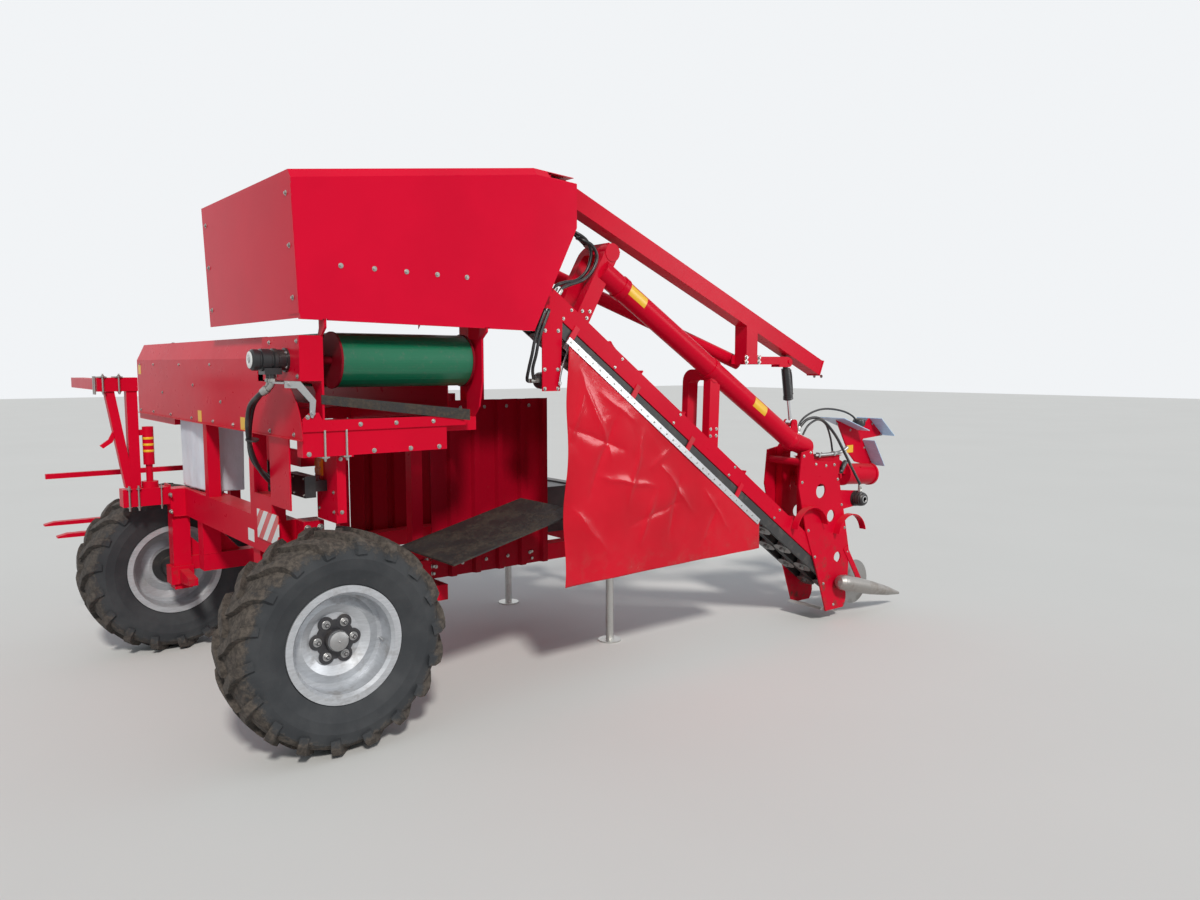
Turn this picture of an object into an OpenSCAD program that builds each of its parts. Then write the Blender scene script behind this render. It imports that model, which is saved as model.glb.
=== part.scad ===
// Trailed one-row leek harvester. Lengths are in millimetres, +X is forward and +Y is left.
// Places are measured from the ground under the right wheel's axle, midway between the wheels.

/* [Wheels] */
// Outer radius of the tyres over the lugs
tyre_r = 620; // [560:5:680]
// Width of the tyres
tyre_w = 420; // [340:10:440]
// Height of the lugs over the tread
lug_h = 32; // [20:1:45]
// Number of lugs along each shoulder
lug_count = 18; // [12:1:24]
// Radius of the rim flange
rim_r = 330; // [280:5:360]
// Distance between the wheel centres
track = 2570; // [2400:10:2700]
// How far the left axle lies behind the right one
left_setback = 230; // [0:10:300]

/* [Chassis] */
// Width and height of the square main tubes
tube = 120; // [80:5:140]
// Height of the rails' underside
rail_z = 700; // [660:10:760]
// Distance of each rail from the middle
rail_y = 600; // [520:10:700]
// Front end of the rails
rail_front = 2600; // [2400:10:2800]

/* [Conveyor] */
// Width of the green belt
belt_w = 800; // [600:10:820]
// Outer radius of the belt over its drums
drum_r = 150; // [120:5:160]
// Height of the drum axis
drum_z = 2165; // [2150:5:2190]
// Place of the near drum across the machine
drum_y = -1250; // [-1280:10:-1200]
// Place of the far end of the conveyor
conveyor_end = 2200; // [1900:10:2300]

/* [Hood] */
// Thickness of the folded sheet
sheet = 4; // [2:0.5:6]
// Place of the hood's near side
hood_y = -1500; // [-1520:5:-1490]
// Depth of the hood across the machine
hood_d = 1550; // [1300:10:1700]

/* [Lifter] */
// Middle of the two gripping belts across the machine
lifter_y = -1270; // [-1280:5:-1260]
// Slope of the lifter
slope = 36; // [35:0.5:37]
// Distance between the upper and lower pulleys
lifter_l = 3720; // [3500:10:3760]
// Radius of the gripping belts' pulleys
pulley_r = 58; // [45:1:62]
// Height of the gripping belts
grip_h = 80; // [60:5:90]
// Diameter of the round tube above the lifter
round_d = 150; // [120:5:160]

/* [Hidden] */
$fn = 48;

// The middle of the machine's outline, which is the part's origin on the ground
mid_x = 2100;
mid_y = 350;
// Gap between curved faces that carry each other, and the clearance of a pin in its hole
gap = 0.3;
fit = 0.05;

/* Wheels and legs */
axle_z = tyre_r;
leg_y = track / 2 - 305;
leg_half = 60;
leg_face = leg_y + leg_half;
stub_d = 90;
// Columns: place along the machine, side across it
legs = [[0, -1], [-left_setback, 1]];

/* Heights of the frame */
rail_top = rail_z + tube;
beam_z0 = 1050;
beam_z1 = 1250;
bed_z0 = 1750;
bed_z1 = 1830;
bed_x0 = -200;
bed_x1 = 900;
bed_y0 = -1340;
bed_w = 80;
belt_x = 50;
belt_t = 8;
run_z = drum_z + drum_r - belt_t;
panel_top = 2175;
// The bracket round the conveyor's motor
box_x = bed_x0 - 6;
box_y = -1440;
box_z = 2055;

/* Mast and boom */
mast_x = 1315;
beam_top = 3290;
mast_top = beam_top - tube;
hood_top = beam_top + 25;
boom_q = [4089, 2112];
boom_p = [1661, beam_top - 135];
strap_y = hood_y + sheet;
lip = 45;

/* Lifter */
lift_top = [1250, 2517];
pivot_t = 110;
pivot = [lift_top.x + pivot_t * sin(slope), lift_top.y + pivot_t * cos(slope)];
pivot_d = 60;
grip_t = 24;
pulley_y = grip_t + pulley_r + 2;
outer_y = pulley_y + pulley_r + grip_t;
web_y = outer_y + 6;
channel_z0 = grip_h / 2 + 6;
channel_z1 = channel_z0 + 120;
tube_y = lifter_y - 90;
web = 6;
// The lower pulleys' axle, from which the head is placed
head = lift_top + lifter_l * [cos(slope), -sin(slope)];

/* Lift cylinder */
cyl_top = [3713, 2160];
cyl_pin = [3791, 1675];
cyl_l = norm(cyl_pin - cyl_top);
cyl_a = atan2(cyl_pin.x - cyl_top.x, cyl_top.y - cyl_pin.y);
barrel_l = 300;
rod_l = 281;
rod_d = 30;
top_pin_d = 30;
low_pin_d = 26;
// Play of the rod's eye on its pin, where the linkage is open
eye_play = 7;
motor_r = 52;

// Ports of the conveyor's motor: behind its flange, below its axis and beside it
port_x = 84;
port_z = 96;
port_y = 26;

/* Hitch and jacks */
hitch = [2750, 500];
hitch_z = 760;
link_half = 412.5;
link_z = 650;
link_d = 28;
jack_x = 2450;
jack_y = 720;
jack_d = 60;

/* Forks */
fork_x = 300;
fork_y = [1560, 2160];

module place() { translate([-mid_x, -mid_y, 0]) children(); }

// A block between two opposite corners
module block(a, b) { translate(a) cube(b - a); }

// A plate with an outline in X and Z, between two places across the machine
module side_plate(points, y0, y1) {
    translate([0, y1, 0]) rotate([90, 0, 0]) linear_extrude(y1 - y0) polygon(points);
}

// A plate with an outline in Y and Z, between two places along the machine
module cross_plate(points, x0, x1) {
    translate([x0, 0, 0]) rotate([90, 0, 90]) linear_extrude(x1 - x0) polygon(points);
}

// A round bar between two points
module bar(p, q, d) {
    v = q - p;
    l = norm(v);
    translate(p) rotate([0, acos(v.z / l), atan2(v.y, v.x)]) cylinder(d = d, h = l);
}

// A rectangular tube between two points of an X and Z plane, centred on y
module strut(p, q, y, w, h) {
    v = q - p;
    translate([p.x, y, p.y]) rotate([0, -atan2(v.y, v.x), 0]) translate([0, -w / 2, -h / 2])
        cube([norm(v), w, h]);
}

// A rectangular tube between two points of a Y and Z plane, centred on x
module cross_strut(p, q, x, w, h) {
    v = q - p;
    translate([x, p.x, p.y]) rotate([atan2(v.y, v.x), 0, 0]) translate([-w / 2, 0, -h / 2])
        cube([w, norm(v), h]);
}

// A pin or a hole across the machine, from y0 to y1
module pin(p, d, y0, y1) { translate([p.x, y1, p.y]) rotate([90, 0, 0]) cylinder(d = d, h = y1 - y0); }

// The lifter's own frame: X runs down the slope, Z stands on it, Y is the machine's
module on_lifter() { translate([lift_top.x, lifter_y, lift_top.y]) rotate([0, slope, 0]) children(); }

// A hose along a route of points, smoothed, with eight sides
module hose(route, d, steps = 4) {
    n = len(route);
    function at(i) = route[max(0, min(n - 1, i))];
    function curve(i, t) = 0.5 * (2 * at(i) + (at(i + 1) - at(i - 1)) * t
        + (2 * at(i - 1) - 5 * at(i) + 4 * at(i + 1) - at(i + 2)) * t * t
        + (3 * at(i) - at(i - 1) - 3 * at(i + 1) + at(i + 2)) * t * t * t);
    path = concat([for (i = [0 : n - 2], k = [0 : steps - 1]) curve(i, k / steps)], [route[n - 1]]);
    m = len(path);
    function ring(i) = let (v = i == 0 ? route[1] - route[0] : i == m - 1 ? route[n - 1] - route[n - 2]
        : path[i + 1] - path[i - 1], u = v / norm(v),
        side = abs(u.x) > 0.9 ? [0, 1, 0] : [1, 0, 0], a = cross(u, side) / norm(cross(u, side)), b = cross(u, a))
        [for (k = [0 : 7]) path[i] + d / 2 * (cos(k * 45) * a + sin(k * 45) * b)];
    polyhedron(points = [for (i = [0 : m - 1]) each ring(i)], faces = concat(
        [[for (k = [0 : 7]) k]], [[for (k = [7 : -1 : 0]) 8 * (m - 1) + k]],
        [for (i = [0 : m - 2], k = [0 : 7]) let (j = (k + 1) % 8)
            [8 * i + k, 8 * i + 8 + k, 8 * i + 8 + j, 8 * i + j]]));
}

// Points of an arc about c from one angle to another
function arc(c, r, a, b, n = 6) = [for (i = [0 : n]) let (t = a + (b - a) * i / n) c + r * [cos(t), sin(t)]];

/* Chassis */

module chassis() {
    color("firebrick") {
        block([-200, -900, beam_z0], [-50, 900, beam_z1]);
        for (s = [-1, 1]) {
            // Rail, upright and the end plate that carries the wheel leg
            block([-185, s * rail_y - tube / 2, rail_z], [rail_front, s * rail_y + tube / 2, rail_top]);
            block([-185, s * rail_y - tube / 2, rail_top], [-65, s * rail_y + tube / 2, beam_z0]);
            block([s > 0 ? -300 : -200, s * 910 - 10, beam_z0], [s > 0 ? -40 : 70, s * 910 + 10, beam_z1]);
        }
        for (x = [900, 1700, rail_front - tube])
            block([x, -rail_y + tube / 2, rail_z], [x + tube, rail_y - tube / 2, rail_top]);
        // Gussets in the corners of the rear beam's uprights and of the front cross tube
        for (s = [-1, 1]) {
            side_plate([[-65, rail_top], [75, rail_top], [-65, rail_top + 160]], s * rail_y - 6, s * rail_y + 6);
            translate([0, 0, rail_top - 8]) linear_extrude(8) polygon([[rail_front - tube, s * (rail_y - tube / 2)],
                [rail_front - tube, s * (rail_y - tube / 2 - 160)], [rail_front - tube - 160,
                s * (rail_y - tube / 2)]]);
        }
        // Lugs and pin of the draw frame
        for (z = [rail_z, rail_top - 20]) hull() {
            block([rail_front, hitch.y - 60, z], [rail_front + 10, hitch.y + 60, z + 20]);
            translate([hitch.x, hitch.y, z]) cylinder(d = 110, h = 20);
        }
        translate([hitch.x, hitch.y, rail_z - 10]) cylinder(d = 60, h = tube + 20);
    }
}

module wheel_leg(x, s) {
    block([x - leg_half, s > 0 ? leg_y - leg_half : -leg_face, axle_z - 110],
        [x + leg_half, s > 0 ? leg_face : -leg_y + leg_half, beam_z1]);
    translate([x, s * leg_face, axle_z]) rotate([-90 * s, 0, 0]) cylinder(d = stub_d, h = 250);
    // Axle box at the foot, with the arm that reaches in under the frame
    mirror([0, s > 0 ? 0 : 1, 0]) {
        block([x - leg_half - 25, leg_y - leg_half - 20, axle_z - 70], [x + leg_half + 10, leg_face, axle_z + 60]);
        cross_plate([[leg_y - leg_half - 20, axle_z - 60], [leg_y - leg_half - 20, axle_z + 40],
            [leg_y - 330, axle_z + 10], [leg_y - 330, axle_z - 40]], x - 30, x + 30);
    }
    // Trailing arm and the piece that ties it to the rail
    block([x + leg_half, s > 0 ? 940 : -1000, 640], [880, s > 0 ? 1000 : -940, 740]);
    block([800, s > 0 ? rail_y + tube / 2 : -940, 700], [880, s > 0 ? 940 : -rail_y - tube / 2, 740]);
    side_plate([[x + leg_half, 740], [x + leg_half + 150, 740], [x + leg_half, 890]], s * 970 - 5, s * 970 + 5);
}

module wheel_legs() {
    color("firebrick") for (leg = legs) wheel_leg(leg[0], leg[1]);
}

// Half of a folded sheet's section: a rib every pitch, that stands out by depth
function folds(x0, x1, pitch, depth, t) = [for (x = [x0 : pitch : x1 - pitch]) each [[x, t], [x + pitch - 70, t],
    [x + pitch - 55, depth + t], [x + pitch - 15, depth + t], [x + pitch, t]]];

module body_walls() {
    near = folds(950, 1900, 190, 28, 2);
    back = [for (i = [len(near) - 1 : -1 : 0]) near[i] - [0, 4]];
    color("darkred") for (s = [-1, 1]) translate([0, s * 662, rail_z]) mirror([0, s > 0 ? 0 : 1, 0])
        linear_extrude(1200) polygon(concat(near, back));
}

module oil_tank() {
    color("dimgray") {
        block([1760, -280, rail_top], [2540, 280, 1180]);
        translate([1900, 180, 1180]) cylinder(d = 110, h = 30);
        translate([1900, 180, 1210]) cylinder(d = 80, h = 26);
        for (x = [1840, 2400]) {
            block([x, -292, rail_top], [x + 50, -280, 1192]);
            block([x, 280, rail_top], [x + 50, 292, 1192]);
            block([x, -280, 1180], [x + 50, 280, 1192]);
        }
    }
}

module jack_tubes() {
    color("firebrick") for (s = [-1, 1]) {
        translate([jack_x, s * jack_y, 560]) difference() {
            union() {
                cylinder(d = 90, h = 620);
                translate([-40, s > 0 ? -60 : 0, 140]) cube([80, 60, tube]);
            }
            translate([0, 0, -1]) cylinder(d = jack_d + 2 * gap, h = 100);
            translate([0, 0, 60]) cylinder(d = 72, h = 540);
        }
    }
}

module jack_leg(s) {
    color("silver") translate([jack_x, s * jack_y, 0]) {
        cylinder(d = 180, h = 12);
        translate([0, 0, 12]) cylinder(d = jack_d, h = 690);
    }
}

/* Cross conveyor and hood */

module conveyor_bed() {
    color("firebrick") {
        for (x = [bed_x0, bed_x1 - bed_w]) block([x, bed_y0, bed_z0], [x + bed_w, conveyor_end, bed_z1]);
        for (y = [bed_y0, 300, 1520, conveyor_end - bed_w])
            block([bed_x0 + bed_w, y, bed_z0], [bed_x1 - bed_w, y + bed_w, bed_z1]);
        block([bed_x0, 1100, bed_z0 - 52], [bed_x0 + 60, conveyor_end, bed_z0]);
    }
}

module bed_posts() {
    color("firebrick") {
        for (y = [-640, 300]) block([bed_x0, y, beam_z1], [bed_x0 + bed_w, y + bed_w, bed_z0]);
        for (y = [-640, 560]) {
            block([bed_x1 - bed_w, y, rail_top], [bed_x1, y + bed_w, bed_z0]);
            block([bed_x1 - bed_w - 30, y - 20, rail_top], [bed_x1 + 30, y + bed_w + 20, rail_top + 12]);
        }
        cross_strut([640, 1050], [1500, bed_z0 - 24], bed_x1 - bed_w / 2, 60, 60);
        // Outer post with a folded edge, and the knee under the bed's rear beam
        block([bed_x0, -1230, beam_z1 + 100], [bed_x0 + 8, -930, bed_z0]);
        block([bed_x0, -930, beam_z1 + 100], [bed_x0 + 60, -922, bed_z0]);
        block([bed_x0, -930, beam_z1], [bed_x0 + bed_w, -640, beam_z1 + 140]);
    }
}

module belt_table() {
    color("firebrick") {
        block([60, -1080, run_z - 8], [840, 1900, run_z]);
        for (x = [60, 834]) block([x, -1080, 2140], [x + 6, 1900, run_z - 8]);
        for (y = [-1000, -100, 800, 1700]) block([bed_x0, y, 2100], [bed_x1, y + 60, 2140]);
    }
}

module conveyor_sides() {
    color("firebrick") {
        // Rear panel, with a round corner below the motor and a lip along its foot
        cross_plate(concat([[conveyor_end, bed_z0], [conveyor_end, panel_top], [-780, panel_top],
            [-780, box_z - 8], [-1060, box_z - 8]], arc([-1140, 1740], 310, 80, 176, 10), [[-1450, bed_z0]]),
            bed_x0 - sheet, bed_x0);
        block([bed_x0 - 18, -1450, bed_z0 - 5], [bed_x0, conveyor_end, bed_z0]);
        // Leaning strip above it and the closing plate at its end
        side_plate([[bed_x0 - sheet, panel_top], [bed_x0, panel_top], [bed_x0 + 60, 2300], [bed_x0 + 56, 2300]],
            -780, conveyor_end);
        side_plate([[bed_x0 - sheet, bed_z1], [bed_x0 - sheet, panel_top], [bed_x0 + 56, 2300], [36, 2300],
            [36, bed_z1]], conveyor_end, conveyor_end + sheet);
        block([bed_x1, -1000, bed_z0], [bed_x1 + sheet, conveyor_end, 2300]);
        block([bed_x1 + sheet, -1000, 2292], [bed_x1 + 30, conveyor_end, 2300]);
    }
}

module belt_loop(r) {
    hull() for (y = [drum_y, conveyor_end - drum_r]) translate([y, drum_z]) circle(r, $fn = 64);
}

module cross_belt() {
    color("seagreen") translate([belt_x, 0, 0]) rotate([90, 0, 90]) linear_extrude(belt_w) difference() {
        belt_loop(drum_r);
        belt_loop(drum_r - belt_t);
    }
}

module cross_drums() {
    // Columns: place across the machine, the shaft's two ends
    color("maroon") {
        for (d = [[drum_y, -78, 884], [conveyor_end - drum_r, bed_x0 + 30, bed_x1 - 20]])
            translate([0, d[0], drum_z]) rotate([0, 90, 0]) {
                translate([0, 0, 60]) cylinder(r = drum_r - belt_t - gap, h = 780, $fn = 64);
                for (x = [38, 850]) translate([0, 0, x]) cylinder(r = drum_r + 6, h = 12, $fn = 64);
                translate([0, 0, d[1]]) cylinder(d = 50, h = d[2] - d[1]);
            }
        // Bearing blocks of the far drum on the side panels
        for (x = [bed_x0, bed_x1 - 40]) block([x, conveyor_end - drum_r - 50, 2090],
            [x + 40, conveyor_end - drum_r + 50, 2172]);
    }
}

// A bearing plate's outline in Y and Z: its foot, then the plate round the drum's end and the leg to the hood
function bearing_outline(foot) = concat(foot, [[-1150, 2040], [-1150, 2240], [-1200, 2290], [-1400, 2290],
    [-1420, 2330], [-1420, 2440], [strap_y, 2440], [strap_y, 2330], [box_y, 2290], [box_y, 2040]]);

module bearing_plates() {
    color("crimson") {
        cross_plate(bearing_outline([[box_y, 1848], [-1345, 1848], [-1345, 2000], [-1300, 2040]]), -90, -78);
        cross_plate(bearing_outline([[-1400, bed_z1 + 60], [-1338, bed_z1], [-1262, bed_z1], [-1262, 1960]]),
            884, 896);
        // Flanged bearings on both plates
        for (x = [-102, 896]) translate([x, drum_y, drum_z]) rotate([0, 90, 0]) difference() {
            cylinder(d = 124, h = 12);
            translate([0, 0, -1]) cylinder(d = 54, h = 14);
        }
        // Box round the motor: rear plate with the motor's hole, and the side flange
        difference() {
            block([box_x, box_y, box_z], [box_x + 6, -880, 2292]);
            translate([box_x - 1, drum_y, drum_z]) rotate([0, 90, 0]) cylinder(d = 96, h = 10);
        }
        block([box_x + 6, box_y, box_z], [-90, box_y + 6, 2292]);
        // Two side beams under the drum's end, the upper one tapered
        side_plate([[-145, 1790], [-145, 1848], [640, 1848], [770, 1806], [770, 1790]], box_y, bed_y0);
        block([-198, box_y + 10, 1655], [650, -1350, 1790]);
        side_plate([[-198, 1790], [-198, 1856], [-160, 1890], [-110, 1890], [-90, 1848], [-145, 1848],
            [-145, 1790]], box_y, box_y + 8);
    }
}

// A hydraulic motor's half section from its flange outward
function motor_section(r, l) = [[0, 0], [0, r + 8], [12, r + 8], [12, r], [0.28 * l, r], [0.30 * l, r + 5],
    [0.40 * l, r + 5], [0.42 * l, r - 3], [0.46 * l, r - 3], [0.48 * l, r + 3], [0.72 * l, r + 3],
    [0.74 * l, r - 5], [0.78 * l, r - 5], [0.80 * l, r], [0.94 * l, r], [l, r - 10], [l, 0]];

module motor(r, l) {
    rotate_extrude() polygon([for (p = motor_section(r, l)) [p.y, p.x]]);
}

module hydraulics() {
    color("dimgray") {
        translate([box_x, drum_y, drum_z]) rotate([0, -90, 0]) {
            motor(56, 190);
            translate([0, 0, -104]) cylinder(d = 48, h = 104);
            // Port block under the motor, with a port for each hose
            for (s = [-1, 1]) translate([-port_z, s * port_y, port_x]) rotate([0, 90, 0])
                cylinder(d = 34, h = 40);
            translate([-76, -48, 40]) cube([34, 96, 90]);
        }
        // Valve block on the inner plate, and control box on the lamp's plate
        block([-110, -600, 1350], [-50, -400, 1500]);
        for (y = [-570, -500, -430]) translate([-80, y, 1500]) cylinder(d = 34, h = 60);
        block([-112, -1215, 1410], [-50, -930, 1530]);
        block([-50, -1200, 1440], [20 - gap, -1160, 1500]);
    }
}

// The hood's rear face, which leans, at a height
function hood_rear(z) = -217 - (z - 2378) * 28 / 738;

function hood_outline(t, b) = [[-245 + b, 3116 - t], [1247, hood_top - t], [1547, hood_top - 21 - t],
    [1546, 2984], [1225, 2349], [-217 + b, 2378]];

// The hood's body, inset by b, with its top edge cut to a sloping lip on the near side
module hood_body(b, front) {
    hull() {
        side_plate(hood_outline(lip + b, b), hood_y + b, hood_y + b + 1);
        side_plate(hood_outline(b, b), hood_y + lip * 0.8 + b, hood_y + hood_d - b);
        if (front) block([1690, hood_y + b, 2340], [1700, hood_y + hood_d - b, hood_top - 40]);
    }
}

module hood() {
    color("crimson") {
        difference() {
            hood_body(0, false);
            hood_body(sheet, true);
            side_plate([[-217 + sheet, 2390], [1700, 2390], [1700, 2200], [-217 + sheet, 2200]], strap_y,
                hood_y + hood_d - sheet);
            block([-217 + sheet, hood_y + hood_d - 50, 2200], [1250, hood_y + hood_d + 1, 2780]);
        }
        // Folded strip on the rear face and the hem along the near side's foot
        side_plate([[hood_rear(3040) - 4, 3040], [hood_rear(3040) + 1, 3040], [hood_rear(2400) + 1, 2400],
            [hood_rear(2400) - 4, 2400]], hood_y + 2, hood_y + 150);
        for (x = [[-217, -100], [-68, 874], [906, 1225]])
            side_plate([for (p = [[x[0], 1], [x[0], -6], [x[1], -6], [x[1], 1]])
                [p.x, 2378 - (p.x + 217) * 29 / 1442 + p.y]], hood_y, hood_y + 26);
    }
}

/* Mast and boom */

module boom() {
    // Underside of the hanger, which leaves room for the raised tube
    hanger_z = cyl_top.y - 20;
    color("firebrick") {
        block([mast_x - 60, -660, rail_top], [mast_x + 60, -540, mast_top]);
        block([mast_x - 60, strap_y + 12, mast_top], [mast_x + 60, -540, beam_top - lip + 5]);
        block([mast_x - 60, strap_y + 32, mast_top], [mast_x + 60, -540, beam_top]);
        // Boom, cut level under the hood's top
        difference() {
            strut(boom_p + 1.02 * (boom_p - boom_q) * (boom_p.x - mast_x - 60) / (boom_q.x - boom_p.x),
                boom_q, tube_y, tube, tube);
            block([mast_x, -1500, beam_top - 5], [2000, -1200, 3500]);
            block([mast_x - 200, -1500, mast_top - 170], [mast_x, -1200, 3500]);
        }
        // Arm that carries the lifter's far bearing, its axle and the near strap
        block([mast_x - 60, -1075, pivot.y - 60], [mast_x + 60, -660, pivot.y + 60]);
        pin(pivot, pivot_d, strap_y + 12, -1075);
        block([mast_x - 40, strap_y, pivot.y - 50], [mast_x + 40, strap_y + 12, beam_top - lip + 5]);
        // Brace from the mast, hanger and lift arm
        bar([mast_x, -600, mast_top - 160], [3300, -1240, 2150], 100);
        block([3200, -1420, hanger_z], [3320, -1190, cyl_top.y + 40]);
        block([3200, -1420, hanger_z], [3320, -1300, 2440]);
        block([3320, tube_y - 42, hanger_z], [cyl_top.x - 73, tube_y + 42, cyl_top.y + 40]);
        for (s = [-1, 1]) {
            block([cyl_top.x - 113, tube_y + s * 36 - 6, cyl_top.y - 40], [cyl_top.x, tube_y + s * 36 + 6,
                cyl_top.y + 40]);
            pin(cyl_top, 80, tube_y + s * 36 - 6, tube_y + s * 36 + 6);
        }
        pin(cyl_top, top_pin_d, tube_y - 50, tube_y + 50);
        // Joint plates of the hanger, and the boom's end plate with its lug
        for (y = [-1428, -1300]) side_plate([[3170, hanger_z + 4], [3350, hanger_z + 4],
            [3350, cyl_top.y + 50], [3170, cyl_top.y + 50]], y, y + 8);
        translate([boom_q.x, tube_y, boom_q.y]) rotate([0, atan2(boom_p.y - boom_q.y, boom_q.x - boom_p.x), 0])
            translate([0, -tube / 2 - 5, -tube / 2 - 5]) cube([8, tube + 10, tube + 10]);
    }
}

module canvas_sleeve() {
    color("lightgray") block([-190, 420, beam_z1 + 10], [100, 1050, bed_z0 - gap]);
}

// Ends of the tray under the drum, which falls towards the front
tray = [[-78 + gap, 1955], [797, 1846]];

module rubber_apron() {
    lip_y = box_y - gap;
    color("dimgray") {
        side_plate([[700, 950], [1650, 1180], [1650, 1190], [700, 960]], -1400, -692 - gap);
        // Tray: floor and near lip
        side_plate([tray[0], tray[1], tray[1] + [0, 8], tray[0] + [0, 8]], lip_y, -1150);
        side_plate([tray[0] - [18, 20], tray[1] - [0, 30], tray[1] + [0, 34], tray[0] + [-18, 28]], lip_y - 6,
            lip_y);
    }
}

module lamp_posts() {
    post_z = 2 * tyre_r + 30;
    color("crimson") {
        // Folded plate of the lamp, with its edges turned in
        difference() {
            block([20, -1320, post_z], [80, -1050, 1645]);
            block([24, -1316, post_z - 10], [90, -1054, 1655]);
        }
        block([20, -1340, post_z + 60], [24, -1320, 1645]);
        block([20, -1430, 1645], [80, -1000, 1655]);
        block([-50, -650, 1100], [-38, -200, bed_z0 - gap]);
        block([-50, -560, 1100], [-38, -400, 1200]);
        block([-50, -1000, 1560], [80, -990, 1655]);
        block([-50, -1000, 1560], [-38, -650, 1655]);
    }
}

module road_kit() {
    // Lamp: base, and a row of lenses
    color("orange") {
        block([8, -1150, 1475], [20, -1060, 1625]);
        for (z = [1490, 1530, 1570]) block([2, -1142, z], [8, -1068, z + 30]);
    }
    color("white") block([-206, -1040, 1130], [-200, -690, 1300]);
}

module hoses() {
    // Two hoses from the conveyor's motor down to the valve block
    x = box_x - port_x;
    z = drum_z - port_z;
    color("black") for (k = [0, 1]) let (y = drum_y + (2 * k - 1) * port_y, out = 30 * (1 - k))
        hose([[x, y, z - gap], [x, y, z - 18], [x - 3 - 0.1 * out, y + 9, z - 42],
            [x - 12 - 0.5 * out, y + 38, z - 66], [x - 22 - 0.9 * out, y + 84, z - 92],
            [x - 30 - out, -1075 + 34 * k, 1910], [x - 32 - 0.7 * out, -1010 + 34 * k, 1780],
            [x - 12, -955 + 34 * k, 1640], [x + 60, -890 + 34 * k, 1525 + 16 * k],
            [-130, -790 + 24 * k, 1435 + 36 * k], [-86, -700 + 6 * k, 1405 + 44 * k],
            [-80, -640, 1405 + 45 * k], [-80, -600 - gap, 1405 + 45 * k]], 26, 3);
}

/* Crate carrier at the left rear */

module crate_mast() {
    color("firebrick") {
        // Outrigger on the wheel leg, mast with a brace, and the upper arm that reaches out to the left
        block([-600, 930, beam_z1 - 110], [-290, 1050, beam_z1 + 15]);
        block([-298, 921, beam_z1 - 130], [-290, 1070, beam_z1 + 30]);
        block([-545, 950, beam_z1 + 15], [-475, 1020, 1955]);
        strut([-545, beam_z1 + 30], [-650, 1965], 985, 64, 60);
        block([-725, 940, 1955], [-470, 1040, 2050]);
        block([-725, 1040, 1965], [-640, 1950, 2040]);
        side_plate([[-700, 1560], [-640, 1600], [-600, 1700], [-620, 1710], [-665, 1620], [-720, 1580]], 975, 995);
        // Lift cylinder beside the mast
        bar([-410, 990, beam_z1 + 15], [-410, 990, beam_z1 + 60], 110);
        bar([-410, 990, beam_z1 + 60], [-410, 990, beam_z1 + 260], 46);
        bar([-410, 990, beam_z1 + 180], [-410, 990, 1700], 74);
        block([-530, 970, 1640], [-425, 1010, 1680]);
        // Mast of the fork at the left
        for (y = fork_y) block([fork_x, y - 40, 450], [fork_x + 80, y + 40, bed_z0]);
        block([fork_x, fork_y[0] + 40, 450], [fork_x + 80, fork_y[1] - 40, 530]);
    }
}

module fork_carriage() {
    color("firebrick") {
        for (z = [880, 1190]) {
            block([255, 1520, z], [295, 2230, z + 90]);
            // Guide cheeks, keeper and pads round each post
            for (y = fork_y) {
                for (k = [-1, 1]) {
                    block([255, y + k * 55 - 7, z], [400, y + k * 55 + 7, z + 90]);
                    block([330, y + k * 49 - 8.7, z + 20], [370, y + k * 49 + 8.7, z + 70]);
                }
                block([385, y - 62, z], [400, y + 62, z + 90]);
            }
        }
        for (y = [1640, 2040]) block([265, y, 970], [285, y + 40, 1190]);
        for (y = [1560, 2190]) {
            side_plate([[-930, 872], [-930, 884], [-860, 900], [255, 900], [255, 860]], y - 35, y + 35);
        }
        block([-900, 2190, 1240], [255, 2230, 1280]);
    }
}

/* Wheels */

// Tyre section, radius and place across
function tyre_section() = let (w = tyre_w / 2) [[302, -150], [rim_r + 2, -150], [rim_r + 6, -160],
    [rim_r + 90, -w + 22], [480, -w + 14], [540, -w + 22], [tyre_r - lug_h - 14, -150], [tyre_r - lug_h, -70],
    [tyre_r - lug_h, 70], [tyre_r - lug_h - 14, 150], [540, w - 22], [480, w - 14], [rim_r + 90, w - 22],
    [rim_r + 6, 160], [rim_r + 2, 150], [302, 150]];

module tyre() {
    color("dimgray") rotate([-90, 0, 0]) {
        rotate_extrude($fn = 72) polygon(tyre_section());
        for (k = [0 : lug_count - 1], s = [-1, 1])
            rotate([0, 0, (k + (s > 0 ? 0.5 : 0)) * 360 / lug_count]) lug(s);
    }
}

// One lug, a curved bar from the shoulder to the middle of the tread, under the tyre's rounded envelope
module lug(s) {
    w = tyre_w / 2;
    intersection() {
        translate([500, 0, 0]) rotate([0, 90, 0]) linear_extrude(tyre_r - 500)
            polygon([[s * -w, 66], [s * -w, 118], [s * -120, 62], [s * -60, 8], [s * 16, -50], [s * 16, -90],
                [s * -66, -52], [s * -130, 8]]);
        rotate_extrude($fn = 72) polygon([[450, -w], [tyre_r - 62, -w], [tyre_r - 22, -w + 22],
            [tyre_r - 5, -w + 70], [tyre_r, -40], [tyre_r, 40], [tyre_r - 5, w - 70], [tyre_r - 22, w - 22],
            [tyre_r - 62, w], [450, w]]);
    }
}

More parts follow.
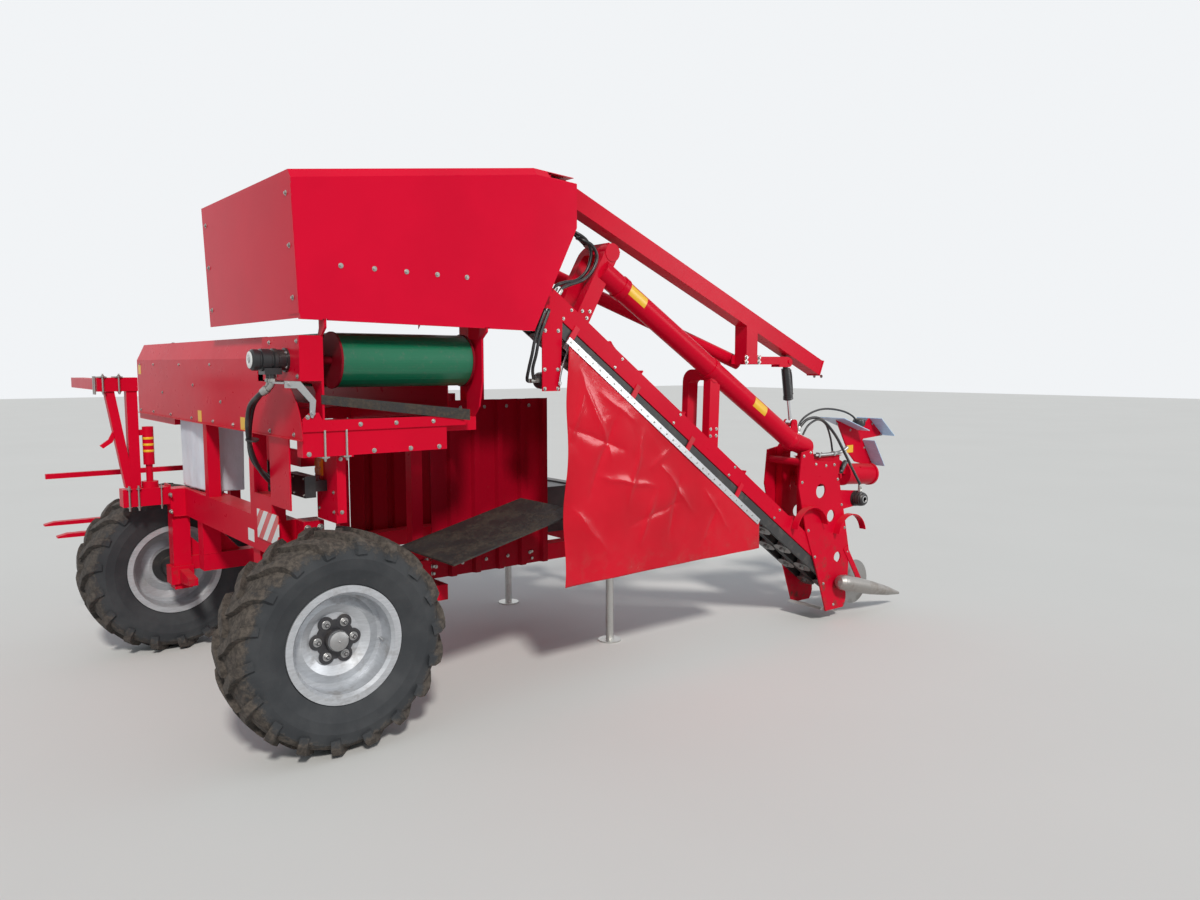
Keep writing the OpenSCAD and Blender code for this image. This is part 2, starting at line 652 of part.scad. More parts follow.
module rim() {
    color("silver") rotate([-90, 0, 0]) {
        rotate_extrude($fn = 72) polygon([[276, -144], [292, -164], [rim_r, -164], [rim_r, -150], [300, -150],
            [288, -140], [288, 140], [300, 150], [rim_r, 150], [rim_r, 164], [292, 164], [276, 144]]);
        rotate_extrude($fn = 72) polygon([[112, 0], [150, 0], [200, 24], [250, 6], [282, 6], [282, 18], [250, 18],
            [200, 36], [150, 12], [112, 12]]);
    }
}

module hub() {
    color("black") rotate([-90, 0, 0]) difference() {
        union() {
            translate([0, 0, -235]) cylinder(d = 150, h = 250);
            translate([0, 0, -14]) cylinder(d = 260, h = 14);
            cylinder(d = 222, h = 20);
            translate([0, 0, 15]) cylinder(d = 130, h = 40);
            // Six lobes on the rim's disc, each with a stud
            for (k = [0 : 5]) rotate([0, 0, k * 60]) translate([104, 0, 12 + gap]) {
                cylinder(d = 88, h = 9, $fn = 24);
                cylinder(d = 24, h = 30, $fn = 24);
            }
        }
        translate([0, 0, -240]) cylinder(d = stub_d + 2 * fit, h = 250);
    }
}

module at_wheel(i) {
    translate([legs[i][0], legs[i][1] * track / 2, axle_z]) mirror([0, legs[i][1] > 0 ? 0 : 1, 0]) children();
}

/* Lifter */

module channels() {
    // Plate of the motor under the upper end
    color("crimson") side_plate([[1318, 2535], [1318, 1975], [1452, 1975], [1475, 2440]],
        lifter_y - web_y - 2, lifter_y - outer_y - gap);
    color("crimson") on_lifter() for (s = [-1, 1]) mirror([0, s > 0 ? 0 : 1, 0]) difference() {
        union() {
            block([-60, outer_y, channel_z0], [lifter_l, web_y, channel_z1]);
            block([-60, 60, channel_z0], [lifter_l, outer_y, channel_z0 + web]);
            block([-60, 60, channel_z1 - web], [lifter_l, outer_y, channel_z1]);
            translate([0, outer_y, pivot_t]) rotate([90, 0, 0]) cylinder(d = 104, h = 24);
            // Tabs along the upper flange and the closing plate at the foot
            for (k = [1000, 1500, 2300, 3000]) block([k, 70, channel_z1], [k + 8, 130, channel_z1 + 45]);
            block([lifter_l - 6, 60, channel_z0 + web], [lifter_l, outer_y, channel_z1 - web]);
        }
        translate([0, web_y + 1, pivot_t]) rotate([90, 0, 0]) cylinder(d = pivot_d + 2 * fit, h = 60);
    }
}

module grip_loop(r) { hull() for (x = [0, lifter_l]) translate([x, 0]) circle(r); }

module grip_belts() {
    color("black") on_lifter() for (s = [-1, 1]) translate([0, s * pulley_y, -grip_h / 2]) linear_extrude(grip_h)
        difference() {
            grip_loop(pulley_r + grip_t);
            grip_loop(pulley_r);
        }
}

module pulleys() {
    color("dimgray") on_lifter() for (s = [-1, 1], k = [0 : 12])
        translate([k * lifter_l / 12, s * pulley_y, -grip_h / 2]) {
            cylinder(r = pulley_r - gap, h = grip_h, $fn = 24);
            translate([0, 0, -6]) cylinder(r = pulley_r + 14, h = 6, $fn = 24);
            translate([0, 0, -24]) cylinder(d = 50, h = 18, $fn = 16);
            cylinder(d = 30, h = grip_h + 6, $fn = 16);
        }
}

// Cuts away what would reach below the channels' top
module above_channels() {
    difference() {
        children();
        on_lifter() block([-800, -400, -900], [4600, 400, channel_z1]);
    }
}

// An arm that straddles both channels, from its foot p to the tube's axis at q, with the far corner rounded
module portal(p, q, depth) {
    v = q - p;
    h = norm(v);
    near = -125;
    far = 165;
    translate([p.x, lifter_y, p.y]) rotate([0, atan2(v.x, v.y), 0])
        cross_plate(concat([[near, 0], [near, h + 40]], arc([far - 90, h - 50], 90, 90, 0), [[far, 0],
            [far - 60, 0]], arc([far - 90, h - 70], 30, 0, 90), [[near + 70, h - 40], [near + 70, 0]]),
            -depth / 2, depth / 2);
}

module round_tube() {
    color("crimson") above_channels() {
        bar([1842, tube_y, 2757], [3792, tube_y, 1538], round_d);
        bar([3792, tube_y, 1538], [3983, tube_y, 1471], round_d);
        translate([3790, tube_y + 1, 1540]) sphere(d = round_d + 12);
        // Columns: foot and head of an arm, in X and Z, its depth
        for (a = [[[1560, 2235], [1918, 2873], 110], [[2875, 1400], [2896, 2063], 100],
            [[3994, 600], [3983, 1471], 110]]) {
            portal(a[0], a[1], a[2]);
            pin(a[1], a[2] + 10, tube_y - 39, tube_y + 39);
        }
        // Collars of the tube at the arms
        for (t = [0.08, 0.52]) let (p = [1842, tube_y, 2757], q = [3792, tube_y, 1538])
            bar(p + t * (q - p), p + (t + 0.02) * (q - p), round_d + 14);
        for (s = [-1, 1]) hull() {
            pin([cyl_pin.x, cyl_pin.y], 60, tube_y + s * 42 - 6, tube_y + s * 42 + 6);
            pin([cyl_pin.x - 10, cyl_pin.y - 120], 100, tube_y + s * 42 - 6, tube_y + s * 42 + 6);
        }
        pin(cyl_pin, low_pin_d, tube_y - 52, tube_y + 52);
        // Hoop that guards the upper arm's foot
        for (h = [[[1727, 2292], [1925, 2282]], [[1925, 2282], [1957, 2243]], [[1957, 2243], [1841, 2085]]])
            bar([h[0].x, tube_y, h[0].y], [h[1].x, tube_y, h[1].y], 26);
        for (p = [[1925, 2282], [1957, 2243]]) translate([p.x, tube_y, p.y]) sphere(d = 30);
    }
}

// The rail's height in the lifter's own frame
function rail_lz(k) = -44 - (k - 319) * 0.0129;

module curtain_rail() {
    color("silver") {
        strut([1482, 2294], [3290, 945], hood_y + 8 + 4, 8, 45);
        // Straps down from the channel
        for (k = [360, 1000, 1640, 2280]) on_lifter() {
            block([k - 20, -web_y - 8, -90], [k + 20, -web_y, channel_z0 + 40]);
            translate([k, -web_y - 8, rail_lz(k)]) rotate([90, 0, 0]) cylinder(d = 24, h = 28);
        }
    }
}

module curtain() {
    color("red") side_plate([[1493, 2308], [3301, 959], [3300, 740], [1440, 720]], -1484, -1478);
}

/* Head, with places in X and Z measured from the lower pulleys' axle */

module at_head() { translate([head.x, 0, head.y]) children(); }

side_in = web_y;
side_out = web_y + 12;
disc_motor = [296, 676];
tongue_y = lifter_y - side_in - 2;
// Columns: upper end and lower end of each guard plate
guards = [[[189, 1357], [546, 1239]], [[718, 1337], [923, 1176]], [[624, 1147], [784, 914]]];

// A guard's end on its underside, with a hair of air
function under(g, k) = let (d = (g[1] - g[0]) / norm(g[1] - g[0])) g[k] - 3.2 * [-d.y, d.x];

// The side plates' outline, with a round throat where the leeks come in
function head_outline() = concat([[-460, 830], [-430, 1110], [-300, 1130], [-270, 1030], [10, 1010], [70, 820],
    [150, 520], [220, 230], [205, -60]], arc([60, -150], 130, 30, -45, 4), [[60, -240], [-80, -240], [-200, 90],
    [-360, 470]]);

module head_frame() {
    color("crimson") at_head() {
        for (s = [-1, 1]) difference() {
            side_plate(head_outline(), lifter_y + s * (side_in + 6) - 6, lifter_y + s * (side_in + 6) + 6);
            for (h = [[-180, 780, 120], [-40, 560, 100], [60, 200, 90]])
                pin([h.x, h.y], h[2], lifter_y - 200, lifter_y + 200);
        }
        for (p = [[-400, 1030], [-30, 950], [160, 270]])
            pin(p, 60, lifter_y - side_in, lifter_y + side_in);
        // Tongue of the near plate for the disc motor
        side_plate(concat([[30, 590], [30, 770]], [for (p = [[40, 62], [62, 30], [62, -30], [40, -62]])
            disc_motor + p]), tongue_y, tongue_y + 10);
        // Housing of the drive between the plates, open below, with a lip on top
        difference() {
            block([-175, -1360, 800], [185, -1180, 1048]);
            block([-170, -1355, 790], [180, -1185, 1043]);
        }
        block([-185, -1370, 1043], [195, -1170, 1048]);
        for (x = [-110, 90]) block([x, -1180, 860], [x + 20, lifter_y + side_in, 900]);
        for (x = [-110, 90]) block([x, lifter_y - side_in, 860], [x + 20, -1360, 900]);
        // Arm to the motor's cover, the cover and its top
        side_plate([[185, 900], [185, 1030], [400, 930], [400, 850]], lifter_y - 40, lifter_y + 40);
        on_drive() {
            cylinder(d = 184, h = drive_l);
            translate([0, 0, drive_l - 8]) cylinder(d = 200, h = 24);
            translate([0, 0, -16]) cylinder(d = 200, h = 24);
            translate([-70, -75, drive_l * 0.4]) cube([80, 150, 20]);
        }
        // Bracket of the guards
        side_plate([[430, 1040], under(guards[0], 0) + [60, -20], under(guards[0], 1), [600, 1250],
            under(guards[1], 0), under(guards[1], 1), [630, 1155], under(guards[2], 0), under(guards[2], 1),
            [640, 930], [520, 960]], lifter_y - 6, lifter_y + 6);
        // Arched guards beside the discs, with their stays
        for (c = [[-346, 470, 200], [180, 370, 190]]) {
            difference() {
                pin([c.x, c.y], 2 * c[2], lifter_y - side_out - 60, lifter_y - side_out);
                pin([c.x, c.y], 2 * c[2] - 16, lifter_y - side_out - 70, lifter_y - side_out + 10);
                block([c.x - 250, lifter_y - side_out - 70, c.y - 250], [c.x + 250, lifter_y - side_out + 10,
                    c.y + 40]);
            }
        }
        // Arm and pin of the disc coulter
        strut([160, 270], [390, -70], lifter_y - side_out - 3, 8, 50);
        pin([390, -70], 60, lifter_y - side_out - 9, lifter_y - side_out + 2);
        pin([390, -70], 30, lifter_y - side_out, lifter_y - side_in + 80);
    }
}

// The head motor's own frame: Z runs along its axis
drive_l = 380;
module on_drive() { translate([350, lifter_y, 864]) rotate([0, 94, 0]) children(); }

module head_drive() {
    color("dimgray") {
        at_head() {
            // Disc motor on the near plate's tongue
            translate([disc_motor.x, tongue_y, disc_motor.y]) rotate([90, 0, 0]) motor(58, 80);
        }
        // Motor under the lifter's upper end, on the plate that hangs from the near channel
        translate([1385, lifter_y - outer_y, 2040]) rotate([-90, 0, 0]) motor(motor_r, 130);
    }
}

module head_plates() {
    color("lightsteelblue") at_head() for (g = guards) strut(g[0], g[1], lifter_y, 260, 6);
}

module share() {
    color("gray") at_head() {
        side_plate([[-140, -220], [70, -268], [70, -260], [-120, -202]], lifter_y - side_in, lifter_y + side_in);
        for (s = [-1, 1]) {
            y = s * (side_out + 71);
            translate([40, lifter_y + y, 0]) rotate([0, 90 + 15, 0]) rotate_extrude() polygon([[0, -60], [40, -50],
                [60, -20], [65, 20], [65, 200], [58, 420], [40, 660], [12, 850], [0, 860]]);
            block([60, lifter_y + min(y, s * side_out), -60], [140, lifter_y + max(y, s * side_out), 20]);
        }
    }
}

module lifter_hoses() {
    near = lifter_y - web_y - 2;
    function on_flange(k, t, y) = [lift_top.x + k * cos(slope) + t * sin(slope), y,
        lift_top.y - k * sin(slope) + t * cos(slope)];
    color("black") {
        // Loop from the upper arm's crossbar down to the near channel's flange
        for (k = [0, 1]) let (y = tube_y - 20 + 30 * k, x = -24 * k)
            hose([[1870, y + 120, 2900.5], [1848, y + 120, 2912.8], [1815, y + 119, 2931],
                [1750 + x, y + 108, 2952 - 1.4 * x], [1690 + x, y + 70, 2955 - 1.8 * x],
                [1702 + x, y + 20, 2938 - 1.8 * x], [1762 + x, y, 2905 - 1.4 * x], [1800 + x, y, 2840 - x],
                [1768 + x, y, 2755], [1690 + x, y, 2685], [1590 + x, y, 2650 - 0.5 * x],
                [1520 + x, y, 2622 - 0.7 * x], on_flange(158 + x, channel_z1 + 30, y),
                on_flange(158 + x, channel_z1 + 15, y), on_flange(158 + x, channel_z1 + gap, y)], 22, 3);
        // Two more from the motor's plate round its edge to the motor
        for (k = [0, 1]) let (x = -30 * k, motor_x = 1385 - motor_r - (k > 0 ? 3 : 5) - gap)
            hose([[1352 + x, near - gap, 2470], [1352 + x, near - 24, 2470], [1318 + x, near - 26, 2400],
                [1280 + x, near - 22, 2300], [1262 + x, near - 12, 2200], [1258 + x, near + 20, 2110],
                [1290 + x, near + 47 + 33 * k, 2040], [motor_x, near + 47 + 33 * k, 2040]], 20);
        // Head's hose from the round tube to the disc motor
        hose([[3885, tube_y, 1585.3], [3899, tube_y, 1625], [3990, tube_y - 20, 1700],
            [4160, tube_y - 20, 1690], [4330, tube_y - 30, 1560], [4430, tube_y - 60, 1400],
            [4510, tube_y - 110, 1220], [4552, tube_y - 132, 1130],
            [head.x + disc_motor.x, tube_y - 132, 1067.8]], 24);
    }
}

module coulter() {
    color("dimgray") at_head() difference() {
        union() {
            pin([390, -70], 380, lifter_y - side_in + 57, lifter_y - side_in + 65);
            pin([390, -70], 90, lifter_y - side_in + 50, lifter_y - side_in + 72);
        }
        pin([390, -70], 30 + 2 * fit, lifter_y - 200, lifter_y);
    }
}

/* Lift cylinder, drawn hanging from its top pin */

module on_cylinder() { translate([cyl_top.x, tube_y, cyl_top.y]) rotate([0, 180 - cyl_a, 0]) children(); }

module lift_barrel() {
    color("black") difference() {
        union() {
            on_cylinder() translate([0, 0, 20]) cylinder(d = 44, h = 40);
            on_cylinder() translate([0, 0, 52]) cylinder(d = 70, h = barrel_l - 52);
            on_cylinder() translate([0, 0, barrel_l - 30]) cylinder(d = 78, h = 30);
            pin(cyl_top, 66, tube_y - 25, tube_y + 25);
        }
        pin(cyl_top, top_pin_d + 2 * fit, tube_y - 30, tube_y + 30);
        on_cylinder() translate([0, 0, 68]) cylinder(d = 52, h = barrel_l - 90);
        on_cylinder() translate([0, 0, 100]) cylinder(d = rod_d + 2 * gap, h = barrel_l);
    }
}

module lift_rod() {
    color("silver") difference() {
        union() {
            on_cylinder() translate([0, 0, cyl_l - rod_l]) cylinder(d = rod_d, h = rod_l);
            on_cylinder() translate([0, 0, cyl_l - rod_l]) cylinder(d = 50, h = 20);
            pin(cyl_pin, 60, tube_y - 25, tube_y + 25);
        }
        pin(cyl_pin, low_pin_d + 2 * eye_play, tube_y - 30, tube_y + 30);
    }
}

/* Hitch */

module draw_frame() {
    color("firebrick") difference() {
        union() {
            translate([hitch.x, hitch.y, rail_z + 25]) cylinder(d = 110, h = tube - 50);
            block([hitch.x + 30, hitch.y - 50, 735], [3000, hitch.y + 50, 785]);
            block([3000, hitch.y - link_half + 20, 720], [3080, hitch.y + link_half - 20, 800]);
            for (s = [-1, 1]) {
                block([3000, hitch.y + s * (link_half - 10) - 10, 610],
                    [3200, hitch.y + s * (link_half - 10) + 10, 800]);
                translate([3150, hitch.y + s * link_half, link_z]) rotate([-90 * s, 0, 0])
                    cylinder(d = link_d, h = 90);
            }
        }
        translate([hitch.x, hitch.y, 600]) cylinder(d = 60 + 2 * fit, h = 400);
    }
}

place() chassis();
place() wheel_legs();
place() body_walls();
place() oil_tank();
place() conveyor_bed();
place() bed_posts();
place() belt_table();
place() conveyor_sides();
place() cross_belt();
place() cross_drums();
place() bearing_plates();
place() hydraulics();
place() hood();
place() boom();
place() canvas_sleeve();
place() rubber_apron();
place() lamp_posts();
place() road_kit();
place() crate_mast();
place() jack_tubes();
place() hoses();
place() at_wheel(0) tyre();  // tyre_right
place() at_wheel(0) rim();  // rim_right
place() at_wheel(0) hub();  // hub_right
place() at_wheel(1) tyre();  // tyre_left
place() at_wheel(1) rim();  // rim_left
place() at_wheel(1) hub();  // hub_left
place() channels();
place() grip_belts();
place() pulleys();
place() round_tube();
place() curtain_rail();
place() curtain();
place() head_frame();
place() head_drive();
place() head_plates();
place() share();
place() lifter_hoses();
place() coulter();
place() lift_barrel();
place() lift_rod();
place() fork_carriage();
place() draw_frame();
place() jack_leg(-1);  // jack_leg_right
place() jack_leg(1);  // jack_leg_left
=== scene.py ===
"""Looks of the trailed leek harvester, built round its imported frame. Metres, +X forward, +Y left, +Z up."""
import math
import random

import bmesh
import bpy
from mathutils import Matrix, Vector, noise


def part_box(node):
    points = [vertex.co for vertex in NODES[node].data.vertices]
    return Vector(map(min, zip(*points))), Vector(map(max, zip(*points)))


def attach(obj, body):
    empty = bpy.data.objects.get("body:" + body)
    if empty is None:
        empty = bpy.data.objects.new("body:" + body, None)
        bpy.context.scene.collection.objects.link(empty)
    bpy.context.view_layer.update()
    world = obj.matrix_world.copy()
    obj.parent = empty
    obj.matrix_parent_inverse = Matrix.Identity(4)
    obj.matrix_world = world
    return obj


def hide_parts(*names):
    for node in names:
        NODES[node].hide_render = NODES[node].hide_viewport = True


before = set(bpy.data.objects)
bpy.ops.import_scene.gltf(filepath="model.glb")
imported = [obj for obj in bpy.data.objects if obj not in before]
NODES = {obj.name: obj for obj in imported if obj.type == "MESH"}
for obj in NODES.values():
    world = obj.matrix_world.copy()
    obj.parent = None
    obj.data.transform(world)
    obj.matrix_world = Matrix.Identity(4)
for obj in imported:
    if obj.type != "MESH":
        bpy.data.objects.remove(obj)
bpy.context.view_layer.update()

MID = Vector((2.1, 0.35, 0.0))


def at(x, y, z):
    """A place measured in millimetres from the ground under the right wheel, as in the part's source."""
    return Vector((x / 1000.0, y / 1000.0, z / 1000.0)) - MID


# Camera at the photograph's height and angle
camera_data = bpy.data.cameras.new("camera")
camera = bpy.data.objects.new("camera", camera_data)
bpy.context.scene.collection.objects.link(camera)
camera.location = at(-1940, -6080, 2144)
camera.rotation_euler = (math.radians(90 - 5.4), 0.0, math.radians(-38.7))
camera_data.sensor_width = 36.0
camera_data.lens = 27.3
camera_data.clip_end = 200.0
bpy.context.scene.camera = camera


class Wire:
    """A shader value: a socket or a number, with arithmetic that adds Math nodes."""

    def __init__(self, graph, socket):
        self.graph, self.socket = graph, socket

    def math(self, operation, other=None):
        values = [self] if other is None else [self, other]
        return self.graph.node("ShaderNodeMath", {"operation": operation}, dict(enumerate(values)))

    def __add__(self, other): return self.math("ADD", other)
    def __radd__(self, other): return self.math("ADD", other)
    def __sub__(self, other): return self.math("SUBTRACT", other)
    def __rsub__(self, other): return Wire(self.graph, other).math("SUBTRACT", self)
    def __mul__(self, other): return self.math("MULTIPLY", other)
    def __rmul__(self, other): return self.math("MULTIPLY", other)

    def step(self, low, high):
        """0 below low, 1 above high and smooth between, for low above high as well."""
        return self.graph.node("ShaderNodeMapRange", {"interpolation_type": "SMOOTHSTEP"},
                               {"Value": self, "From Min": low, "From Max": high})

    def wave(self, period):
        return (self * (2 * math.pi / period)).math("SINE")


class Graph:
    """The shader graph of a material or of the world."""

    def __init__(self, owner):
        owner.use_nodes = True
        self.tree = owner.node_tree
        self.tree.nodes.clear()

    def node(self, kind, settings=None, sockets=None, out=0):
        """One node: its settings first, then the values or links of its sockets."""
        n = self.tree.nodes.new(kind)
        for key, value in (settings or {}).items():
            setattr(n, key, value)
        for key, value in (sockets or {}).items():
            socket = n.inputs[key]
            value = value.socket if isinstance(value, Wire) else value
            if isinstance(value, bpy.types.NodeSocket):
                self.tree.links.new(value, socket)
                continue
            if hasattr(value, "__len__") and len(value) < len(socket.default_value):
                value = (*value, 1.0)
            socket.default_value = value
        return Wire(self, n.outputs[out]) if n.outputs else None


class Finish(Graph):
    """A material and what its makers share."""

    def __init__(self, name):
        self.material = bpy.data.materials.new(name)
        super().__init__(self.material)

    def place(self):
        """The object's own coordinates, in metres."""
        return self.node("ShaderNodeTexCoord", out="Object")

    def parts(self, vector):
        """A vector's x, y and z."""
        x = self.node("ShaderNodeSeparateXYZ", {}, {0: vector})
        return [Wire(self, socket) for socket in x.socket.node.outputs]

    def stretch(self, scale):
        """The object's coordinates, scaled along each axis."""
        return self.node("ShaderNodeMapping", {"vector_type": "POINT"},
                         {"Vector": self.place(), "Scale": scale})

    def noise(self, scale, detail=4.0, rough=0.55, vector=None, distortion=0.0):
        return self.node("ShaderNodeTexNoise", {}, {"Vector": vector or self.place(), "Scale": scale,
                         "Detail": detail, "Roughness": rough, "Distortion": distortion})

    def blend(self, mask, a, b):
        """Colour a where the mask is 0, and b where it is 1."""
        return self.node("ShaderNodeMix", {"data_type": "RGBA"}, {0: mask, 6: a, 7: b}, out=2)

    def up(self):
        """How far the surface faces the sky, 1 where level."""
        return self.parts(self.node("ShaderNodeNewGeometry", out="Normal"))[2]

    def edge(self, reach):
        """Near 1 along the piece's edges and 0 on its faces."""
        bevel = self.node("ShaderNodeBevel", {"samples": 4}, {"Radius": reach})
        normal = self.node("ShaderNodeNewGeometry", out="Normal")
        turned = self.node("ShaderNodeVectorMath", {"operation": "DOT_PRODUCT"}, {0: bevel, 1: normal},
                           out="Value")
        return (1 - turned).step(0.02, 0.25)

    def bump(self, height, strength, distance):
        return self.node("ShaderNodeBump", {}, {"Height": height, "Strength": strength, "Distance": distance})

    def done(self, colour, roughness, normal=None, metallic=0.0, coat=0.0, specular=0.5, sheen=0.0):
        sockets = {"Base Color": colour, "Roughness": roughness, "Metallic": metallic, "Coat Weight": coat,
                   "Coat Roughness": 0.1, "Specular IOR Level": specular, "Sheen Weight": sheen}
        if normal is not None:
            sockets["Normal"] = normal
        shader = self.node("ShaderNodeBsdfPrincipled", {}, sockets)
        self.node("ShaderNodeOutputMaterial", {}, {"Surface": shader})
        return self.material


DUST = (0.23, 0.185, 0.14)
SOIL = (0.085, 0.062, 0.045)
STAIN = (0.12, 0.09, 0.07)
RED = (0.60, 0.003, 0.024)


def darker(colour, share):
    return tuple(c * share for c in colour)


def red_paint(name, base, dusty=0.35, gloss=0.22, low=0.9):
    """Glossy implement paint, with dust on what lies level and soil thrown up below the height low."""
    f = Finish(name)
    height = f.parts(f.place())[2]
    cloud = f.noise(1.7, 3.0)
    speck = f.noise(46.0, 5.0, 0.65)
    tone = f.blend(cloud.step(0.35, 0.7), base, darker(base, 0.92))
    dust = f.up().step(0.55, 0.98) * (f.noise(6.0, 6.0, 0.7).step(0.38, 0.68) * 0.75 + 0.15) * dusty
    soil = height.step(low, 0.25) * f.noise(9.0, 6.0, 0.7).step(0.5, 0.68) * 0.75
    film = speck.step(0.6, 0.74) * 0.10 * dusty
    wear = f.edge(0.004) * f.noise(38.0, 4.0, 0.7).step(0.60, 0.68) * 0.55
    colour = f.blend((dust + film).math("MINIMUM", 0.8), tone, DUST)
    colour = f.blend(soil, colour, SOIL)
    colour = f.blend(wear, colour, (0.30, 0.22, 0.20))
    rough = gloss + f.noise(14.0, 4.0) * 0.10 + dust * 0.5 + soil * 0.5 + wear * 0.2
    peel = f.noise(240.0, 2.0)
    return f.done(colour, rough, normal=f.bump(peel, 0.03, 0.0006), specular=0.06)


def plain_metal(name, base, roughness=0.35, metallic=1.0, grain=60.0, dirt=0.25):
    """Metal with a fine grain across its height, grain lines to the metre, and stains of soil."""
    f = Finish(name)
    lines = f.noise(grain, 6.0, 0.7, vector=f.stretch((1.0, 1.0, 6.0)))
    soil = f.noise(7.0, 5.0, 0.65).step(0.52, 0.72) * dirt
    tone = f.blend(lines.step(0.3, 0.7), darker(base, 0.82), base)
    colour = f.blend(soil, tone, STAIN)
    return f.done(colour, roughness + (lines - 0.5) * 0.18 + soil * 0.4, metallic=metallic * (1 - soil),
                  normal=f.bump(lines, 0.08, 0.0006))


def rail_metal():
    """Aluminium rail, whose tabs above it are painted like the lifter."""
    f = Finish("rail_aluminium")
    x, y, z = f.parts(f.place())
    across = x * 0.598 + z * 0.8015  # square to the rail, in metres
    tab = across.step(1.494, 1.4945)
    grain = f.noise(70.0, 6.0, 0.7, vector=f.stretch((1.0, 1.0, 6.0)))
    soil = f.noise(7.0, 5.0, 0.65).step(0.52, 0.72) * 0.3
    colour = f.blend(grain.step(0.3, 0.7), (0.50, 0.51, 0.53), (0.66, 0.67, 0.69))
    colour = f.blend(soil, f.blend(tab, colour, RED), STAIN)
    return f.done(colour, 0.34 + (grain - 0.5) * 0.15 + soil * 0.4, metallic=(1 - tab) * (1 - soil) * 0.95,
                  normal=f.bump(grain, 0.08, 0.0006), specular=0.2)


def dark_paint(name, base, roughness=0.4, dusty=0.4):
    """Satin paint or plastic with patches of dust, thicker on what lies level."""
    f = Finish(name)
    patch = f.noise(9.0, 6.0, 0.7)
    dust = patch.step(0.45, 0.75) * dusty * (f.up().step(-0.2, 0.9) * 0.7 + 0.3)
    colour = f.blend(dust, base, DUST)
    return f.done(colour, roughness + dust * 0.4, normal=f.bump(f.noise(160.0, 3.0), 0.06, 0.0008))


def muddy_tyre(name, mud):
    """Tyre rubber: dried soil on tread and lugs, thinner on the side wall."""
    f = Finish(name)
    grit = f.noise(34.0, 8.0, 0.72)
    clod = f.noise(8.5, 5.0, 0.6)
    tread = f.node("ShaderNodeAttribute", {"attribute_name": "tread"}, out="Fac")
    cake = (clod * 0.6 + grit * 0.4 + tread * 0.42).step(0.60, 0.86) * mud
    haze = f.noise(5.0, 4.0).step(0.35, 0.7) * 0.35
    wall = f.blend(haze, (0.026, 0.029, 0.033), (0.075, 0.078, 0.082))
    earth = f.blend(grit.step(0.35, 0.65), (0.040, 0.034, 0.030), (0.105, 0.088, 0.074))
    colour = f.blend(cake, wall, earth)
    height = cake * 0.6 + grit * cake * 0.8 + f.noise(90.0, 3.0) * 0.15
    return f.done(colour, 0.62 + cake * 0.3 - haze * 0.1, normal=f.bump(height, 0.55, 0.006), specular=0.35)


def ribbed_belt(name, base, pitch):
    """Belt with low ribs across its run, and scuffs along it."""
    f = Finish(name)
    rib = f.parts(f.place())[1].wave(pitch).step(-0.2, 0.9)
    scuff = f.noise(26.0, 5.0, 0.7, vector=f.stretch((1.0, 0.25, 1.0)))
    dirt = scuff.step(0.52, 0.74) * 0.35
    colour = f.blend(dirt, f.blend(f.noise(3.0), base, darker(base, 0.7)), (0.10, 0.12, 0.09))
    return f.done(colour, 0.28 + dirt * 0.4, normal=f.bump(rib + scuff * 0.2, 0.5, 0.0015))


def rubber(name, base, roughness):
    """Smooth black rubber with dust."""
    f = Finish(name)
    dusty = f.noise(11.0, 6.0, 0.7).step(0.48, 0.75) * 0.45
    colour = f.blend(dusty, base, (0.16, 0.14, 0.12))
    return f.done(colour, roughness + dusty * 0.3, normal=f.bump(f.noise(120.0, 4.0), 0.15, 0.001))


def caked(name, base, earth):
    """Rubber sheet with dried soil splashed over it."""
    f = Finish(name)
    clod = f.noise(6.0, 7.0, 0.7)
    grit = f.noise(48.0, 6.0, 0.7)
    cake = (clod * 0.75 + grit * 0.25).step(0.44, 0.60)
    crust = f.blend(grit.step(0.35, 0.7), darker(earth, 0.6), earth)
    height = cake * 0.5 + grit * cake * 0.6
    return f.done(f.blend(cake * 0.85, base, crust), 0.6 + cake * 0.3, normal=f.bump(height, 0.5, 0.006),
                  specular=0.3)


def woven(name, base, shade, thread=0.00698, stains=0.2):
    """Canvas: its weave, long soft dents and stains that run down."""
    f = Finish(name)
    x, y, z = f.parts(f.place())
    weave = (x + y).wave(thread) * z.wave(thread)
    hang = f.stretch((1.0, 1.0, 0.35))
    stain = f.noise(4.0, 6.0, 0.7, vector=hang).step(0.5, 0.75) * stains
    crumple = f.noise(9.0, 3.0, 0.5, vector=hang, distortion=0.8)
    colour = f.blend(f.noise(2.2, 4.0).step(0.3, 0.7), base, shade)
    colour = f.blend(stain, colour, (0.20, 0.19, 0.16))
    return f.done(colour, 0.7 + stain * 0.2, normal=f.bump(weave * 0.02 + crumple, 0.5, 0.016), sheen=0.15)


def road_plastic():
    """Lamp lenses above, and below them a white board with a red slanted band on its end."""
    f = Finish("road_plastic")
    x, y, z = f.parts(f.place())
    lens = z.step(1.399, 1.401)
    cell = y.wave(0.009) * z.wave(0.007)
    tint = f.blend(z.step(1.52, 1.5205), (0.55, 0.006, 0.008), (0.80, 0.20, 0.01))
    stripe = (y + z).wave(0.14).step(-0.04, 0.04)
    board = f.blend(stripe, (0.70, 0.71, 0.70), (0.62, 0.010, 0.015))
    colour = f.blend(lens, board, tint)
    dust = f.noise(13.0, 6.0, 0.7).step(0.5, 0.75) * 0.25
    return f.done(f.blend(dust, colour, DUST), 0.16 + dust * 0.5, normal=f.bump(cell * lens, 0.35, 0.0012),
                  coat=0.3)


